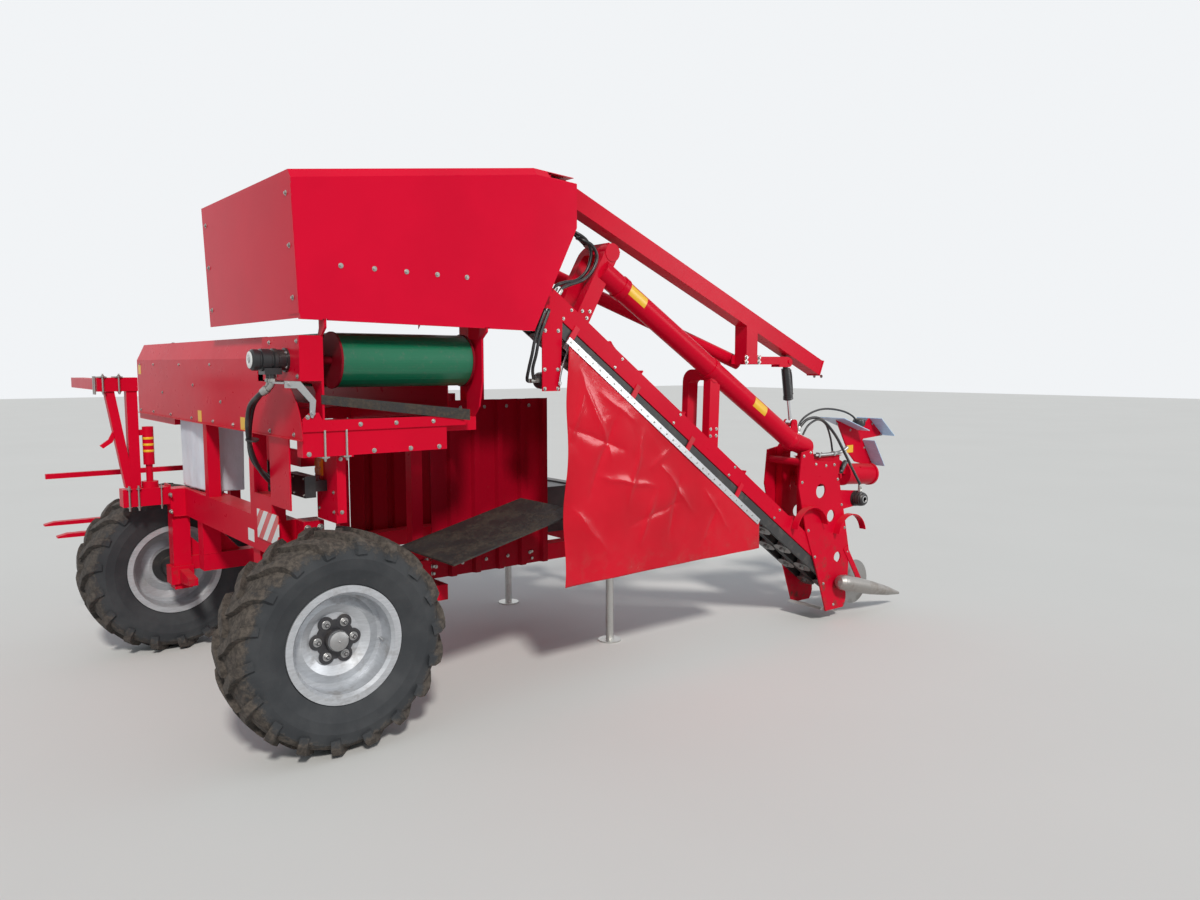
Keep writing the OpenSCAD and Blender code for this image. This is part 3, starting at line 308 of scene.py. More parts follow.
def tarpaulin():
    """Coated red sheet: a glossy skin with soft swells, and dusty at its foot."""
    f = Finish("red_tarpaulin")
    x, y, z = f.parts(f.place())
    swell = f.noise(3.2, 2.0, 0.5, distortion=0.6)
    weave = x.wave(0.006) * z.wave(0.006)
    dust = z.step(1.05, 0.70) * f.noise(7.0, 6.0, 0.7).step(0.46, 0.72) * 0.3
    colour = f.blend(f.noise(1.6, 3.0).step(0.35, 0.7), (0.60, 0.0015, 0.017), (0.48, 0.001, 0.012))
    colour = f.blend(dust, colour, (0.24, 0.10, 0.08))
    return f.done(colour, 0.14 + f.noise(9.0, 4.0) * 0.07 + dust * 0.5,
                  normal=f.bump(swell + weave * 0.003, 0.45, 0.02), specular=0.26)


paint = red_paint("implement_red", RED, dusty=0.30, gloss=0.24)
hood_paint = red_paint("hood_red", (0.64, 0.004, 0.030), dusty=0.10, gloss=0.16, low=0.3)
# Body walls get a darker copy of the red: painted shade for the shade under the hood, with real dust on top
shaded_wall_paint = red_paint("wall_red_painted_shade", (0.33, 0.002, 0.014), dusty=0.5, gloss=0.3)
looks = {
    "hood": hood_paint,
    "body_walls": shaded_wall_paint,
    "oil_tank": dark_paint("tank_plastic", (0.05, 0.05, 0.055)),
    "cross_belt": ribbed_belt("green_belt", (0.005, 0.150, 0.072), pitch=0.030),
    "cross_drums": red_paint("drum_red", (0.22, 0.006, 0.016), dusty=0.6, gloss=0.4),
    "hydraulics": dark_paint("motor_black", (0.018, 0.018, 0.02), roughness=0.32, dusty=0.25),
    "head_drive": dark_paint("head_motor_black", (0.022, 0.022, 0.025), roughness=0.3, dusty=0.25),
    "rubber_apron": caked("mud_flap", (0.026, 0.025, 0.025), (0.080, 0.062, 0.048)),
    "road_kit": road_plastic(),
    "hoses": rubber("hose_rubber", (0.015, 0.015, 0.017), roughness=0.38),
    "lifter_hoses": rubber("lifter_hose_rubber", (0.015, 0.015, 0.017), roughness=0.38),
    "tyre_right": muddy_tyre("tyre_right", mud=1.0),
    "tyre_left": muddy_tyre("tyre_left", mud=0.75),
    "rim_right": plain_metal("rim_silver", (0.55, 0.57, 0.60), 0.42, 0.55, grain=14.0, dirt=0.45),
    "rim_left": plain_metal("rim_silver_left", (0.55, 0.57, 0.60), 0.42, 0.55, grain=14.0, dirt=0.3),
    "hub_right": dark_paint("hub_black", (0.03, 0.03, 0.035)),
    "hub_left": dark_paint("hub_black_left", (0.02, 0.02, 0.022)),
    "grip_belts": rubber("grip_rubber", (0.02, 0.02, 0.021), roughness=0.5),
    "pulleys": plain_metal("roller_steel", (0.30, 0.29, 0.28), 0.45, 0.9, grain=40.0, dirt=0.6),
    "curtain_rail": rail_metal(),
    "head_plates": plain_metal("guard_plate", (0.46, 0.64, 0.86), 0.34, 0.05, grain=12.0, dirt=0.10),
    "share": plain_metal("share_steel", (0.40, 0.38, 0.36), 0.4, 0.9, grain=50.0, dirt=0.5),
    "coulter": plain_metal("disc_steel", (0.42, 0.41, 0.40), 0.35, 0.95, grain=50.0, dirt=0.45),
    "lift_barrel": dark_paint("barrel_black", (0.015, 0.015, 0.017), roughness=0.3, dusty=0.2),
    "lift_rod": plain_metal("rod_chrome", (0.78, 0.78, 0.80), 0.12, 1.0, grain=120.0, dirt=0.03),
    "jack_leg_right": plain_metal("jack_zinc", (0.60, 0.60, 0.58), roughness=0.4),
    "jack_leg_left": plain_metal("jack_zinc_left", (0.60, 0.60, 0.58), roughness=0.4),
    "canvas_sleeve": woven("white_canvas", (0.72, 0.77, 0.84), (0.56, 0.62, 0.70)),
    "curtain": tarpaulin(),
}
for name, node in NODES.items():
    node.data.materials.clear()
    node.data.materials.append(looks.get(name, paint))


# Tyres carry a mark that grows from the side wall to the tread
WALL_RADIUS, SHOULDER = 0.50, 0.08
for name in ("tyre_right", "tyre_left"):
    mesh = NODES[name].data
    low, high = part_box(name)
    mark = mesh.attributes.new("tread", "FLOAT", "POINT")
    for i, v in enumerate(mesh.vertices):
        r = math.hypot(v.co.x - (low[0] + high[0]) / 2, v.co.z - (low[2] + high[2]) / 2)
        mark.data[i].value = min(max((r - WALL_RADIUS) / SHOULDER, 0.0), 1.0)


BOLT_SCALE = 0.88  # one measure for all bolts


class Shape:
    """Gathers the parts of one piece. Places and sizes are in millimetres of the part's source."""

    def __init__(self):
        self.bm = bmesh.new()

    def face(self, verts, slot=0):
        f = self.bm.faces.new(verts)
        f.material_index, f.smooth = slot, True
        return f

    def slab(self, outline, normal, thick, slot=0, bevel=1.5):
        """A plate that grows from its outline along the normal, with softened edges."""
        n = Vector(normal).normalized()
        area = Vector()
        for a, b in zip(outline, outline[1:] + outline[:1]):
            area += Vector(a).cross(Vector(b))
        ring = list(outline) if area.dot(n) > 0 else list(outline)[::-1]
        low = [self.bm.verts.new(at(*p)) for p in ring]
        high = [self.bm.verts.new(at(*(Vector(p) + n * thick))) for p in ring]
        faces = [self.face(high, slot), self.face(low[::-1], slot)]
        for i in range(len(ring)):
            j = (i + 1) % len(ring)
            faces.append(self.face((low[i], low[j], high[j], high[i]), slot))
        edges = list({e for f in faces for e in f.edges})
        made = bmesh.ops.bevel(self.bm, geom=edges, offset=bevel / 1000.0, segments=2, affect="EDGES",
                               clamp_overlap=True)
        for f in made["faces"]:
            f.material_index, f.smooth = slot, True

    def turned(self, centre, axis, profile, sides=24, slot=0, turn=0.0):
        """A turned part: the profile's pairs are a radius and a distance along the axis."""
        w = Vector(axis).normalized()
        u = w.orthogonal().normalized()
        v = w.cross(u)
        rings = []
        for r, t in profile:
            ring = []
            for k in range(sides):
                a = 2 * math.pi * (k + turn) / sides
                out = u * math.cos(a) + v * math.sin(a)
                ring.append(self.bm.verts.new(at(*(Vector(centre) + w * t + out * r))))
            rings.append(ring)
        for a, b in zip(rings, rings[1:]):
            for i in range(sides):
                j = (i + 1) % sides
                self.face((a[i], a[j], b[j], b[i]), slot)
        self.face(rings[0][::-1], slot)
        self.face(rings[-1], slot)

    def bolt(self, place, normal, size=16.0, slot=0, shank=0.0):
        """A hexagon head on a washer, each turned its own way, and where asked the thread's end past it."""
        size *= BOLT_SCALE
        h = size * 0.62
        washer = [(size * 0.95, -1), (size * 0.95, size * 0.12), (size * 0.88, size * 0.18)]
        head = [(size * 0.56, size * 0.12), (size * 0.58, size * 0.2), (size * 0.58, h),
                (size * 0.48, h + size * 0.08)]
        self.turned(place, normal, washer, 16, slot)
        self.turned(place, normal, head, 6, slot, turn=0.21 * len(self.bm.verts) % 1)
        if shank:
            end = [(size * 0.28, h), (size * 0.28, h + shank), (size * 0.22, h + shank + 2)]
            self.turned(place, normal, end, 12, slot)

    def sweep(self, route, d, sides=12, slot=0, steps=6, flat=1.0, hump=None):
        """A tube along a smoothed route; flat below 1 makes it a strap, and hump swells it by place."""
        pts = [Vector(p) for p in route]
        pts = [pts[0]] + pts + [pts[-1]]
        path = []
        for i in range(1, len(pts) - 2):
            a, b, c, e = pts[i - 1:i + 3]
            for k in range(steps):
                t = k / steps
                path.append(0.5 * (2 * b + (c - a) * t + (2 * a - 5 * b + 4 * c - e) * t * t
                                   + (3 * b - a - 3 * c + e) * t ** 3))
        path.append(pts[-1])
        rings, side = [], None
        for i, p in enumerate(path):
            t = (path[min(i + 1, len(path) - 1)] - path[max(i - 1, 0)]).normalized()
            side = t.orthogonal() if side is None else side - t * side.dot(t)
            side.normalize()
            other = t.cross(side)
            r = d / 2 * (hump(i / (len(path) - 1)) if hump else 1.0)
            ring = []
            for k in range(sides):
                a = 2 * math.pi * k / sides
                out = side * (r * math.cos(a)) + other * (r * flat * math.sin(a))
                ring.append(self.bm.verts.new(at(*(p + out))))
            rings.append(ring)
        for a, b in zip(rings, rings[1:]):
            for k in range(sides):
                j = (k + 1) % sides
                self.face((a[k], a[j], b[j], b[k]), slot)
        self.face(rings[0][::-1], slot)
        self.face(rings[-1], slot)

    def done(self, name, body, materials, slot, angle=32.0, replaces=()):
        """Makes the piece, with edges sharper than the angle left crisp."""
        mesh = bpy.data.meshes.new(name)
        bmesh.ops.recalc_face_normals(self.bm, faces=self.bm.faces)
        self.bm.to_mesh(mesh)
        self.bm.free()
        piece = bpy.data.objects.new(name, mesh)
        bpy.context.scene.collection.objects.link(piece)
        for m in materials if isinstance(materials, (list, tuple)) else [materials]:
            mesh.materials.append(m)
        mesh.set_sharp_from_angle(angle=math.radians(angle))
        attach(piece, body)
        if replaces:
            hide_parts(*replaces)


zinc = plain_metal("zinc", (0.42, 0.42, 0.40), 0.38, 0.9, grain=90.0, dirt=0.4)
steel = plain_metal("bare_steel", (0.46, 0.46, 0.46), 0.38, 0.95, grain=70.0, dirt=0.3)
yellow = dark_paint("label_yellow", (0.80, 0.47, 0.015), roughness=0.35, dusty=0.15)
white = dark_paint("label_white", (0.72, 0.73, 0.72), roughness=0.4, dusty=0.15)
black = dark_paint("plain_black", (0.014, 0.014, 0.016), roughness=0.35, dusty=0.3)
hose_black = rubber("hose_black", (0.013, 0.013, 0.015), roughness=0.36)

# Directions, then places in millimetres
FRONT, REAR, NEAR, FAR, UP, DOWN = (1, 0, 0), (-1, 0, 0), (0, -1, 0), (0, 1, 0), (0, 0, 1), (0, 0, -1)
WHEEL_Y, WHEEL_Z, LEFT_WHEEL_X = 1285, 620, -230
MOTOR_Y, MOTOR_Z = -1250, 2165  # the conveyor motor's axis
PORT_X, PORT_YS, PORT_Z = -290, (-1276, -1224), 2069  # its two ports
PANEL_X = -204  # the rear panel's face


def rear_x(z):
    """The hood's leaning rear face."""
    return -217 - (z - 2378) * 28 / 738


def rect(x, y, z):
    """The corners of a level or upright rectangle, where one of the three ranges is a single place."""
    if not hasattr(x, "__len__"):
        return [(x, y[0], z[0]), (x, y[1], z[0]), (x, y[1], z[1]), (x, y[0], z[1])]
    if not hasattr(y, "__len__"):
        return [(x[0], y, z[0]), (x[1], y, z[0]), (x[1], y, z[1]), (x[0], y, z[1])]
    return [(x[0], y[0], z), (x[1], y[0], z), (x[1], y[1], z), (x[0], y[1], z)]


def on_circle(centre, radius, degrees):
    """The two coordinates of a place on a circle."""
    a = math.radians(degrees)
    return centre[0] + radius * math.cos(a), centre[1] + radius * math.sin(a)


def bolts_and_clamps():
    """Bolts, U-bolts and their straps on the fixed frame."""
    s = Shape()
    # Hood: near side and the rear's two edges
    for x in (6, 193, 380, 568, 757):
        s.bolt((x, -1500, 2652 - (x - 6) * 0.021), NEAR, 17)
    for z in (3003, 2744, 2482):
        s.bolt((rear_x(z) - 4, -1430, z), REAR, 17)
        s.bolt((rear_x(z), -20, z), REAR, 17)
    # Rear panel and its strip
    for y in (-1330, -960, -300, 120, 620, 1180, 1700, 2120):
        s.bolt((PANEL_X, y, 1772), REAR, 15)
    for y in (-640, 150, 900, 1650, 2100):
        s.bolt((PANEL_X, y, 2140), REAR, 13)
    for y, z in ((-60, 1905), (560, 2000), (1400, 1930)):
        s.bolt((PANEL_X, y, z), REAR, 14)
    # Motor's box, bearings and side beams
    for y, z in ((-1410, 2080), (-1410, 2262), (-1090, 2080), (-1000, 2262)):
        s.bolt((-206, y, z), REAR, 15)
    for x, normal in ((-102, REAR), (908, FRONT)):
        for a in (45, 135, 225, 315):
            s.bolt((x, *on_circle((MOTOR_Y, MOTOR_Z), 46, a)), normal, 14)
    for x, z in ((-170, 1868), (120, 1820), (330, 1820), (560, 1820)):
        s.bolt((x, -1440, z), NEAR, 15)
    for x in (-165, 200, 420, 600):
        s.bolt((x, -1430, 1672), NEAR, 16)
    for y in (-1405, -1375):
        s.bolt((-84, y, 1870), UP, 10)
    # U-bolts of the side beams
    for x in (-80, 40):
        s.sweep([(x, -1437, 1632), (x, -1437, 1700), (x, -1437, 1796)], 13, 10, steps=1)
        s.slab(rect((x - 22, x + 22), (-1446, -1344), 1648), UP, 7)
        s.bolt((x, -1437, 1648), DOWN, 17, shank=8)
    # U-bolts of the fork mast's foot
    for x, d, size in ((-560, 14, 20), (-500, 14, 20), (-352, 10, 15)):
        s.sweep([(x, 922, 1112), (x, 922, 1200), (x, 922, 1290)], d, 10, steps=1)
        s.bolt((x, 922, 1265), UP, size, shank=10)
        s.bolt((x, 922, 1140), DOWN, size, shank=10)
    # U-bolts of its outrigger
    for x, y in ((-690, 960), (-590, 1010)):
        s.slab(rect((x - 26, x + 26), (930, 1050), 2050), UP, 8)
        s.sweep([(x, 931, 1935), (x, 931, 2000), (x, 931, 2070)], 14, 10, steps=1)
        s.sweep([(-735, y, 1935), (-735, y, 2060)], 12, 10, steps=1)
        s.bolt((x, 931, 2058), UP, 19, shank=8)
        s.bolt((x, 931, 1955), DOWN, 19, shank=8)
    # Wheel legs, rails and the posts' feet
    for side, x0 in ((-1, 0), (1, LEFT_WHEEL_X)):
        for dx in (-37.2, 37.2):
            for z in (1085, 1210):
                s.bolt((x0 + dx, side * 1040, z), (0, side, 0), 24)
    for z in (1090, 1210):
        for y in (868, 903):
            s.bolt((-300, y, z), REAR, 20)
    for y in (-640, 560):
        for dy in (-8, 88):
            for x in (803, 917):
                s.bolt((x, y + dy, 832), UP, 18)
    for x in (960, 1760, 2540):
        for side in (-1, 1):
            for z in (735, 785):
                s.bolt((x, side * 660, z), (0, side, 0), 22)
    for x in (977, 1182, 1372, 1552, 1742):
        for side in (-1, 1):
            s.bolt((x, side * 668, 780), (0, side, 0), 15)
            s.bolt((x, side * 668, 1850), (0, side, 0), 15)
    # Lamp's plate, control box and valve block
    for z in (1330, 1625):
        s.bolt((52, -1320, z), NEAR, 14)
    for y, z in ((-1290, 1330), (-1080, 1330), (-1290, 1440)):
        s.bolt((20, y, z), REAR, 13)
    for y in (-1195, -1045):
        for z in (1424, 1516):
            s.bolt((-112, y, z), REAR, 10)
    for y in (-580, -420):
        for z in (1370, 1480):
            s.bolt((-110, y, z), REAR, 12)
    # Boom, hanger and mast
    for x in (3190, 3330):
        for z in (2158, 2192):
            s.bolt((x, -1428, z), NEAR, 22)
    for z in (2044, 2162):
        s.bolt((4127, -1395, z), FRONT, 16)
        s.bolt((4127, -1325, z), FRONT, 16)
    for z in (2490, 2570, 2650, 2730):
        s.bolt((1375, -870, z), FRONT, 18)
    s.done("frame_bolts", "frame", zinc, "zinc")


SLOPE = math.radians(36.0)
DOWNHILL = Vector((math.cos(SLOPE), 0, -math.sin(SLOPE)))
OVER = Vector((math.sin(SLOPE), 0, math.cos(SLOPE)))
HEAD_X, HEAD_Z = 4259.5, 330.4
DISC_MOTOR = (296, 676)  # from there, along and up
RAIL_TOP, RAIL_FOOT = (1482, 2294), (3290, 945)


def lifter_point(k, y, t):
    """A place k down the lifter's slope, y across the machine and t above the slope's line."""
    return Vector((1250, y, 2517)) + DOWNHILL * k + OVER * t


def lifter_bolts():
    """Bolts that swing with the lifter."""
    s = Shape()
    # Rail, with a screw every hand's width
    (x0, z0), (x1, z1) = RAIL_TOP, RAIL_FOOT
    for i in range(31):
        t = 0.012 + i / 30 * 0.976
        s.bolt((x0 + (x1 - x0) * t, -1492, z0 + (z1 - z0) * t), NEAR, 9)
    # Channels: along the web and at the tabs
    for k in (240, 760, 1420, 2120, 2760, 3420):
        s.bolt(lifter_point(k, -1442, 64), NEAR, 13)
        s.bolt(lifter_point(k + 20, -1442, 146), NEAR, 13)
    for k in (1000, 1500, 2300, 3000):
        s.bolt(lifter_point(k + 8, -1372, 192), DOWNHILL, 13)
    # Feet and heads of the arms
    for x, z, sx, sz in ((1640, 2378, 0.489, 0.872), (2878, 1548, 0.03, 1.0), (3990, 740, -0.013, 1.0)):
        for d in (-30, 30):
            for up in (70, 120):
                s.bolt((x + d + sx * up, -1395, z + sz * up), NEAR, 15)
    # Motor's plate
    for x, z in ((1335, 2110), (1435, 2110), (1335, 1990), (1435, 1990), (1340, 2350), (1440, 2350)):
        s.bolt((x, -1444, z), NEAR, 15)
    # Head: side plate, top, the drum's end cap and the guards' bracket
    for x, z in ((-420, 870), (-405, 1080), (-320, 1105), (-250, 1005), (-120, 985), (-10, 985), (40, 860),
                 (100, 640), (150, 440), (190, 230), (180, 20), (20, -200), (-120, 0), (-240, 240),
                 (-330, 470)):
        s.bolt((HEAD_X + x, -1454, HEAD_Z + z), NEAR, 15)
    for x in (-150, 160):
        for y in (-1350, -1190):
            s.bolt((HEAD_X + x, y, HEAD_Z + 1048), UP, 15)
    tilt = math.radians(94)
    w, u = Vector((math.sin(tilt), 0, math.cos(tilt))), Vector(FAR)
    v = w.cross(u)
    cap = Vector((HEAD_X + 350, -1270, HEAD_Z + 864)) + w * 396
    for a in range(0, 360, 60):
        y, z = on_circle((0, 0), 84, a)
        s.bolt(cap + u * y + v * z, w, 13)
    for x, z in ((250, 1305), (440, 1242), (760, 1283), (890, 1178), (650, 1075), (755, 925)):
        s.bolt((HEAD_X + x, -1276, HEAD_Z + z), NEAR, 13)
    s.done("lifter_bolts", "elevator", zinc, "rail_aluminium")


def wheel_nuts(name, body, x, side):
    """Nuts on the hub, its cap and the tyre's valve. side is -1 for the right wheel and 1 for the left."""
    s = Shape()
    y, z, out = side * WHEEL_Y, WHEEL_Z, (0, side, 0)
    for a in range(0, 360, 60):
        nut_x, nut_z = on_circle((x, z), 104, a)
        s.bolt((nut_x, y + side * 21.3, nut_z), out, 30, shank=6)
    # Cap over the bearing and its grease nipple
    s.turned((x, y + side * 55, z), out, [(58, -2), (60, 6), (54, 20), (34, 27), (12, 29)], 32)
    s.turned((x, y + side * 84, z), out, [(7, -2), (7, 6), (4, 9), (4, 14)], 12)
    # Tyre valve
    s.sweep([(x + 262, y + side * 18, z - 40), (x + 262, y + side * 48, z - 42),
             (x + 258, y + side * 74, z - 46)], 11, 8, steps=3)
    s.done(name, body, steel, "rim_silver")


def labels():
    """Blank plates on the rear panel, the rear beam and the lamp's box, and bands on the mast's cylinder."""
    s = Shape()
    for y, z in ((2120, 2100), (425, 1795), (-485, 1790)):
        s.slab(rect(PANEL_X, (y - 42, y + 42), (z - 40, z + 36)), REAR, 1.2, 0, 0.6)
    s.slab(rect(-200, (-610, -500), (1085, 1160)), REAR, 1.2, 1, 0.6)
    s.slab(rect(-112.5, (-1000, -945), (1422, 1518)), REAR, 1.0, 1, 0.5)
    for z in (1520, 1565, 1610):
        s.turned((-410, 990, z), UP, [(37.4, 0), (38.2, 2), (38.2, 14), (37.4, 16)], 32, 0)
    s.done("blank_labels", "frame", [yellow, white], "road_plastic")


def tube_bands():
    """Blank yellow labels bent round the tube above the lifter, and one on the head."""
    s = Shape()
    start = Vector((1842, -1360, 2757))
    along = (Vector((3792, -1360, 1538)) - start).normalized()
    near = Vector(NEAR)
    up = near.cross(along).normalized()
    radius, lengths, turns = 75.9, 8, 12
    for first, long_ in ((228, 175), (1700, 160)):
        rows = []
        for i in range(lengths + 1):
            row = []
            for k in range(turns + 1):
                a = math.radians(-24 + 62 * k / turns)
                out = near * math.cos(a) + up * math.sin(a)
                row.append(s.bm.verts.new(at(*(start + along * (first + long_ * i / lengths) + out * radius))))
            rows.append(row)
        for p, q in zip(rows, rows[1:]):
            for k in range(turns):
                s.face((p[k], p[k + 1], q[k + 1], q[k]))
    s.slab(rect((4655, 4745), -1276, (1375, 1440)), NEAR, 1.2, 0, 0.6)
    s.done("tube_labels", "elevator", yellow, "road_plastic")


def motor_bracket():
    """Plain zinc plate that steadies the conveyor's motor, and the ring on its end cap."""
    s = Shape()
    plate = -1441
    outline = [(-288, 2058), (-205, 2054), (-126, 1957), (-133, 1889), (-145, 1862), (-156, 1866), (-163, 1892),
               (-158, 1945), (-224, 2020), (-288, 2022)]
    s.slab([(x, plate, z) for x, z in outline], NEAR, 8, 0, 1.2)
    s.bolt((-146, plate - 8, 1888), NEAR, 17)
    s.bolt((-262, plate - 8, 2040), NEAR, 15)
    s.slab(rect((-300, -230), plate, (2042, 2052)), FAR, 200, 0, 1)
    end = (-396, MOTOR_Y, MOTOR_Z)
    s.turned(end, REAR, [(44, -1), (44, 3), (38, 5), (26, 5), (24, 2)], 32, 2)
    s.turned(end, REAR, [(15, 0), (15, 4), (12, 7)], 24, 0)
    for y in PORT_YS:
        s.turned((PORT_X, y, PORT_Z), DOWN, [(17, -16), (17, -2), (13, 0), (13, 6)], 6, 0)
    for a in (45, 135, 225, 315):
        s.bolt((-219, *on_circle((MOTOR_Y, MOTOR_Z), 52, a)), REAR, 13)
    s.done("motor_bracket", "frame", [steel, black, white], "zinc")


def crimp(s, p, direction, d, slot=1):
    """A pressed hose end with its nut."""
    s.turned(p, direction, [(d * 0.62, 0), (d * 0.66, 4), (d * 0.66, 38), (d * 0.56, 44)], 14, slot)
    s.turned(p, direction, [(d * 0.74, -20), (d * 0.78, -17), (d * 0.78, -2), (d * 0.70, 1)], 6, slot)


def frame_hoses():
    """Two hoses from the conveyor's motor down to the valve block."""
    s = Shape()
    x, z = PORT_X, PORT_Z
    for k, y in enumerate(PORT_YS):
        out = 30 * (1 - k)
        bend = [(x, y, z - 18), (x - 3 - 0.1 * out, y + 9, z - 42)]
        s.sweep([(x, y, z), *bend, (x - 12 - 0.5 * out, y + 38, z - 66), (x - 22 - 0.9 * out, y + 84, z - 92),
                 (x - 30 - out, -1075 + 34 * k, 1910), (x - 32 - 0.7 * out, -1010 + 34 * k, 1780),
                 (x - 12, -955 + 34 * k, 1640), (x + 60, -890 + 34 * k, 1525 + 16 * k),
                 (-130, -790 + 24 * k, 1435 + 36 * k), (-86, -700 + 6 * k, 1405 + 44 * k),
                 (-80, -640, 1405 + 45 * k), (-80, -600, 1405 + 45 * k)], 26, 14)
        # Elbow at the port, with its nut and the pressed sleeve
        knee = (x - 8 - 0.3 * out, y + 24, z - 56)
        s.sweep([(x, y, z + 1), *bend, knee], 30, 12, 1)
        s.turned((x, y, z - 2), DOWN, [(20, 0), (22, 2), (22, 16), (19, 18)], 6, 1)
        s.turned(knee, (-12 - 0.4 * out, 46, -26), [(19, 0), (21, 3), (21, 42), (16, 46)], 16, 1)
        crimp(s, (-80, -622, 1405 + 45 * k), NEAR, 26)
    # Tie that holds the two together
    s.turned((-318, -1004, 1730), (0.02, 0.25, -1), [(34, -5), (36, -3), (36, 3), (34, 5)], 20, 0)
    s.done("frame_hoses", "frame", [hose_black, zinc], "black_rubber", 40, ["hoses"])


def lifter_hoses():
    """Hoses of the lifter's motor, of its upper loop and of the head."""
    s = Shape()
    plate = -1444.0
    for k in (0, 1):
        # Upper loop: out of the round tube, over and down to the channel
        y, x = -1380 + 30 * k, -24 * k
        s.sweep([(1870, y + 120, 2900.5), (1848, y + 120, 2912.8), (1815, y + 119, 2931),
                 (1750 + x, y + 108, 2952 - 1.4 * x), (1690 + x, y + 70, 2955 - 1.8 * x),
                 (1702 + x, y + 20, 2938 - 1.8 * x), (1762 + x, y, 2905 - 1.4 * x), (1800 + x, y, 2840 - x),
                 (1768 + x, y, 2755), (1690 + x, y, 2685), (1590 + x, y, 2650 - 0.5 * x),
                 (1520 + x, y, 2622 - 0.7 * x), *(lifter_point(158 + x, y, t) for t in (196, 181, 166))],
                22, 12)
        crimp(s, (1852, y + 120, 2910.5), (-0.873, 0, 0.486), 22)
        crimp(s, lifter_point(158 + x, y, 188), OVER, 22)
        # From the plate down to the lifter's motor
        x, y = -30 * k, plate + 47 + 33 * k
        s.sweep([(1352 + x, plate, 2470), (1352 + x, plate - 24, 2470), (1318 + x, plate - 26, 2400),
                 (1280 + x, plate - 22, 2300), (1262 + x, plate - 12, 2200), (1258 + x, plate + 20, 2110),
                 (1290 + x, y, 2040), (1328 + 2 * k, y, 2040)], 20, 12)
        crimp(s, (1306, y, 2040), REAR, 20)
        s.turned((1352 + x, plate + 1, 2470), NEAR, [(16, 0), (17, 2), (17, 15), (14, 17)], 6, 1)
    x = HEAD_X + DISC_MOTOR[0]
    s.sweep([(3885, -1360, 1585), (3899, -1360, 1625), (3990, -1380, 1700), (4160, -1380, 1690),
             (4330, -1390, 1560), (4430, -1420, 1400), (4510, -1470, 1220), (4552, -1492, 1130),
             (x, -1492, 1067)], 24, 12)
    crimp(s, (x, -1492, 1085), UP, 24)
    crimp(s, (3891, -1360, 1600), (0.3, 0, 0.95), 24)
    # Thinner lines over the head, tied to the first
    s.sweep([(3905, -1335, 1580), (3960, -1330, 1680), (4100, -1325, 1745), (4300, -1310, 1770),
             (4540, -1300, 1745), (4720, -1285, 1690), (4800, -1276, 1620), (4812, -1276, 1585)], 17, 10)
    s.sweep([(3920, -1385, 1575), (3975, -1395, 1650), (4110, -1385, 1690), (4270, -1345, 1640),
             (4380, -1310, 1520), (4420, -1300, 1420), (4430, -1300, 1378)], 17, 10)
    s.done("lifter_lines", "elevator", [hose_black, zinc], "black_rubber", 40, ["lifter_hoses"])


def head_trim():
    """Link under the lifter's upper end, knob, handle and cap at the head."""
    s = Shape()
    link = -1453
    strap = [(1530, 2272), (1512, 2238), (1474, 2150), (1450, 2075), (1440, 2012)]
    s.sweep([(x, link, z) for x, z in strap], 30, 12, flat=0.3)
    s.bolt((1526, link - 4, 2262), NEAR, 16)
    s.bolt((1441, link - 4, 2022), NEAR, 16)
    handle = [(4095, 1394), (4200, 1394), (4380, 1396), (4470, 1412), (4530, 1436)]
    s.sweep([(x, -1372, z) for x, z in handle], 30, 14, 1)
    for x in (4130, 4330):
        s.slab(rect(x, (-1392, -1352), (1378, 1416)), FRONT, 22, 1, 4)
    # Knob on the guards' bracket
    s.turned((4830, -1270, 1570), UP, [(18, 0), (18, 26), (46, 30), (54, 40), (56, 70), (50, 88), (30, 98),
                                       (12, 100)], 28, 2)
    # Cap of the disc motor with its pale ring
    x, z = HEAD_X + DISC_MOTOR[0], HEAD_Z + DISC_MOTOR[1]
    s.turned((x, -1524, z), NEAR, [(52, -2), (54, 8), (46, 18), (40, 20)], 32, 2)
    s.turned((x, -1540, z), NEAR, [(30, 0), (30, 5), (22, 6), (20, 4)], 28, 1)
    # Small cylinders that tilt the motor's cover
    for y in (-1336, -1204):
        a, b = Vector((4560, y, 1312)), Vector((4452, y, 1166))
        s.turned(a, b - a, [(10, -8), (19, 0), (21, 6), (21, 110), (17, 116), (9, 117), (9, 180)], 20, 2)
    # Tie bars between the arms' heads and the channel
    for k in (1180, 2700):
        p = lifter_point(k, -1392, 168)
        s.slab([p + Vector(d) for d in ((0, 0, 0), (46, 0, -34), (60, 0, -14), (14, 0, 20))], FAR, 34, 3, 3)
    s.done("head_trim", "elevator", [steel, steel, black, paint], "rail_aluminium")


def lift_cylinder_trim():
    """Gland, ports and pipe of the lift cylinder's barrel."""
    s = Shape()
    top, pin = Vector((3713, -1360, 2160)), Vector((3791, -1360, 1675))
    w = (pin - top).normalized()
    s.turned(top + w * 296, w, [(39, -10), (40, -6), (40, 5), (30, 7), (24, 12)], 28)
    for t in (76, 262):
        s.turned(top + w * t + Vector((34, 0, 5)), (1, 0, 0.16), [(14, -8), (14, 12), (11, 14), (11, 22)], 6)
    pipe = ((76, 54, 9), (110, 62, 10), (200, 60, 10), (262, 54, 9))
    s.sweep([top + w * t + Vector((x, 0, z)) for t, x, z in pipe], 12, 10)
    s.done("lift_cylinder_trim", "lift_barrel", black, "pump_black")


